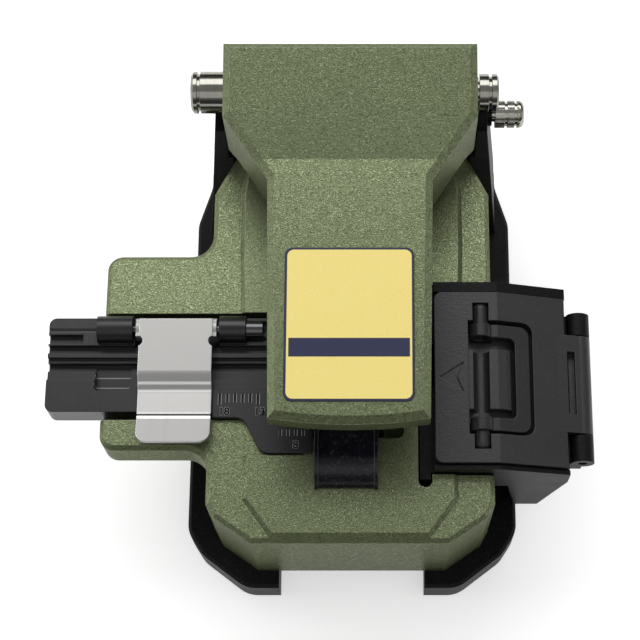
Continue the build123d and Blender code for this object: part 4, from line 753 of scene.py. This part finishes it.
class CleaverStageSetup(bpy.types.Operator):
    """Builds the pale floor, the lamps and the camera"""

    bl_idname = "cleaver.stage"
    bl_label = "Stage"

    def execute(self, context):
        stage = context.scene.cleaver_stage
        self.floor()
        self.sky(context, stage)
        powers = (stage.key_power, stage.front_power, stage.fill_power, stage.fill_power * RIGHT_SHARE)
        for (name, place, size), power in zip(LAMPS, powers):
            self.lamp(name, place, size, power)
        self.camera(context, stage)
        context.scene.view_settings.view_transform = "Standard"
        return {"FINISHED"}

    def floor(self):
        """A wide level sheet just under the sole, white to the camera and shaded by the object."""
        corners = [(-1, -1), (1, -1), (1, 1), (-1, 1)]
        mesh = bpy.data.meshes.new("studio_floor")
        mesh.from_pydata([(FLOOR_HALF * x, FLOOR_HALF * y, 0.0) for x, y in corners], [], [(0, 1, 2, 3)])
        material = bpy.data.materials.new("studio_floor")
        material.use_nodes = True
        tree = material.node_tree
        tree.nodes.clear()
        bench = NodeBench(tree)
        paper = bench.noise(bench.place(), 0.6 * MM, 2.0)
        diffuse = bench.add("ShaderNodeBsdfDiffuse", {"Color": bench.blend(
            bench.steps(paper, 0.2, 0.8), linear("#f4f4f4"), linear("#fafafa"))})
        glow = bench.add("ShaderNodeEmission", {"Color": (1.0, 1.0, 1.0), "Strength": FLOOR_GLOW})
        rays = bench.add("ShaderNodeLightPath").outputs
        seen = bench.math("MAXIMUM", rays["Is Camera Ray"], rays["Is Glossy Ray"])
        seen = bench.math("MAXIMUM", seen, rays["Is Transmission Ray"])
        both = bench.add("ShaderNodeAddShader", {0: diffuse.outputs[0], 1: glow.outputs[0]})
        mixed = bench.add("ShaderNodeMixShader", {0: seen, 1: diffuse.outputs[0], 2: both.outputs[0]})
        output = bench.add("ShaderNodeOutputMaterial")
        tree.links.new(mixed.outputs[0], output.inputs[0])
        new_piece("studio_floor", mesh, material)

    def sky(self, context, stage):
        """A soft surrounding light that is dim at the horizon and brighter overhead."""
        world = bpy.data.worlds.new("studio_sky")
        context.scene.world = world
        world.use_nodes = True
        tree = world.node_tree
        tree.nodes.clear()
        bench = NodeBench(tree)
        way = bench.add("ShaderNodeTexCoord").outputs["Generated"]
        rise = bench.add("ShaderNodeSeparateXYZ", {0: way}).outputs["Z"]
        strength = bench.steps(rise, 0.2, 0.8, stage.horizon, stage.sky)
        ground = bench.add("ShaderNodeBackground", {"Color": (1.0, 1.0, 1.0), "Strength": strength})
        output = bench.add("ShaderNodeOutputWorld")
        tree.links.new(ground.outputs[0], output.inputs[0])

    def lamp(self, name, place, size, power):
        """A wide soft lamp aimed at the object."""
        light = bpy.data.lights.new(name, "AREA")
        light.shape = "RECTANGLE"
        light.size, light.size_y = size
        light.energy = power
        piece = bpy.data.objects.new(name, light)
        piece.location = place
        bpy.context.scene.collection.objects.link(piece)
        look_at(piece, LAMP_TARGET)

    def camera(self, context, stage):
        """The photograph's viewpoint: high in front, looking down and to the back."""
        lens = bpy.data.cameras.new("camera")
        lens.lens = stage.lens
        lens.shift_x = stage.shift
        lens.clip_start = 0.01
        piece = bpy.data.objects.new("camera", lens)
        piece.location = [part * MM for part in CAMERA_PLACE]
        piece.rotation_euler = (stage.tilt, 0.0, 0.0)
        context.scene.collection.objects.link(piece)
        context.scene.camera = piece


class CleaverPanel(bpy.types.Panel):
    """Lists the cleaver's operators and settings"""

    bl_idname = "VIEW3D_PT_cleaver"
    bl_label = "Fibre cleaver"
    bl_space_type = "VIEW_3D"
    bl_region_type = "UI"
    bl_category = "Cleaver"

    def draw(self, context):
        for operator in OPERATORS:
            self.layout.operator(operator.bl_idname)
        for group in SETTINGS:
            settings = getattr(context.scene, group)
            for name in settings.__annotations__:
                self.layout.prop(settings, name)


OPERATORS = (
    CleaverStageSetup, CleaverCastings, CleaverFrame, CleaverHolder, CleaverClamp, CleaverHinge, CleaverBadge,
    CleaverBin, CleaverMechanism,
)
SETTINGS = {"cleaver_paint": CleaverPaint, "cleaver_trim": CleaverTrim, "cleaver_stage": CleaverStage}


def register():
    for kind in (*SETTINGS.values(), *OPERATORS, CleaverPanel):
        bpy.utils.register_class(kind)
    for name, kind in SETTINGS.items():
        setattr(bpy.types.Scene, name, PointerProperty(type=kind))


def unregister():
    for name in SETTINGS:
        delattr(bpy.types.Scene, name)
    for kind in reversed((*SETTINGS.values(), *OPERATORS, CleaverPanel)):
        bpy.utils.unregister_class(kind)


def main():
    """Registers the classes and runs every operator."""
    register()
    for operator in OPERATORS:
        area, name = operator.bl_idname.split(".")
        getattr(getattr(bpy.ops, area), name)()


if __name__ == "__main__":
    main()
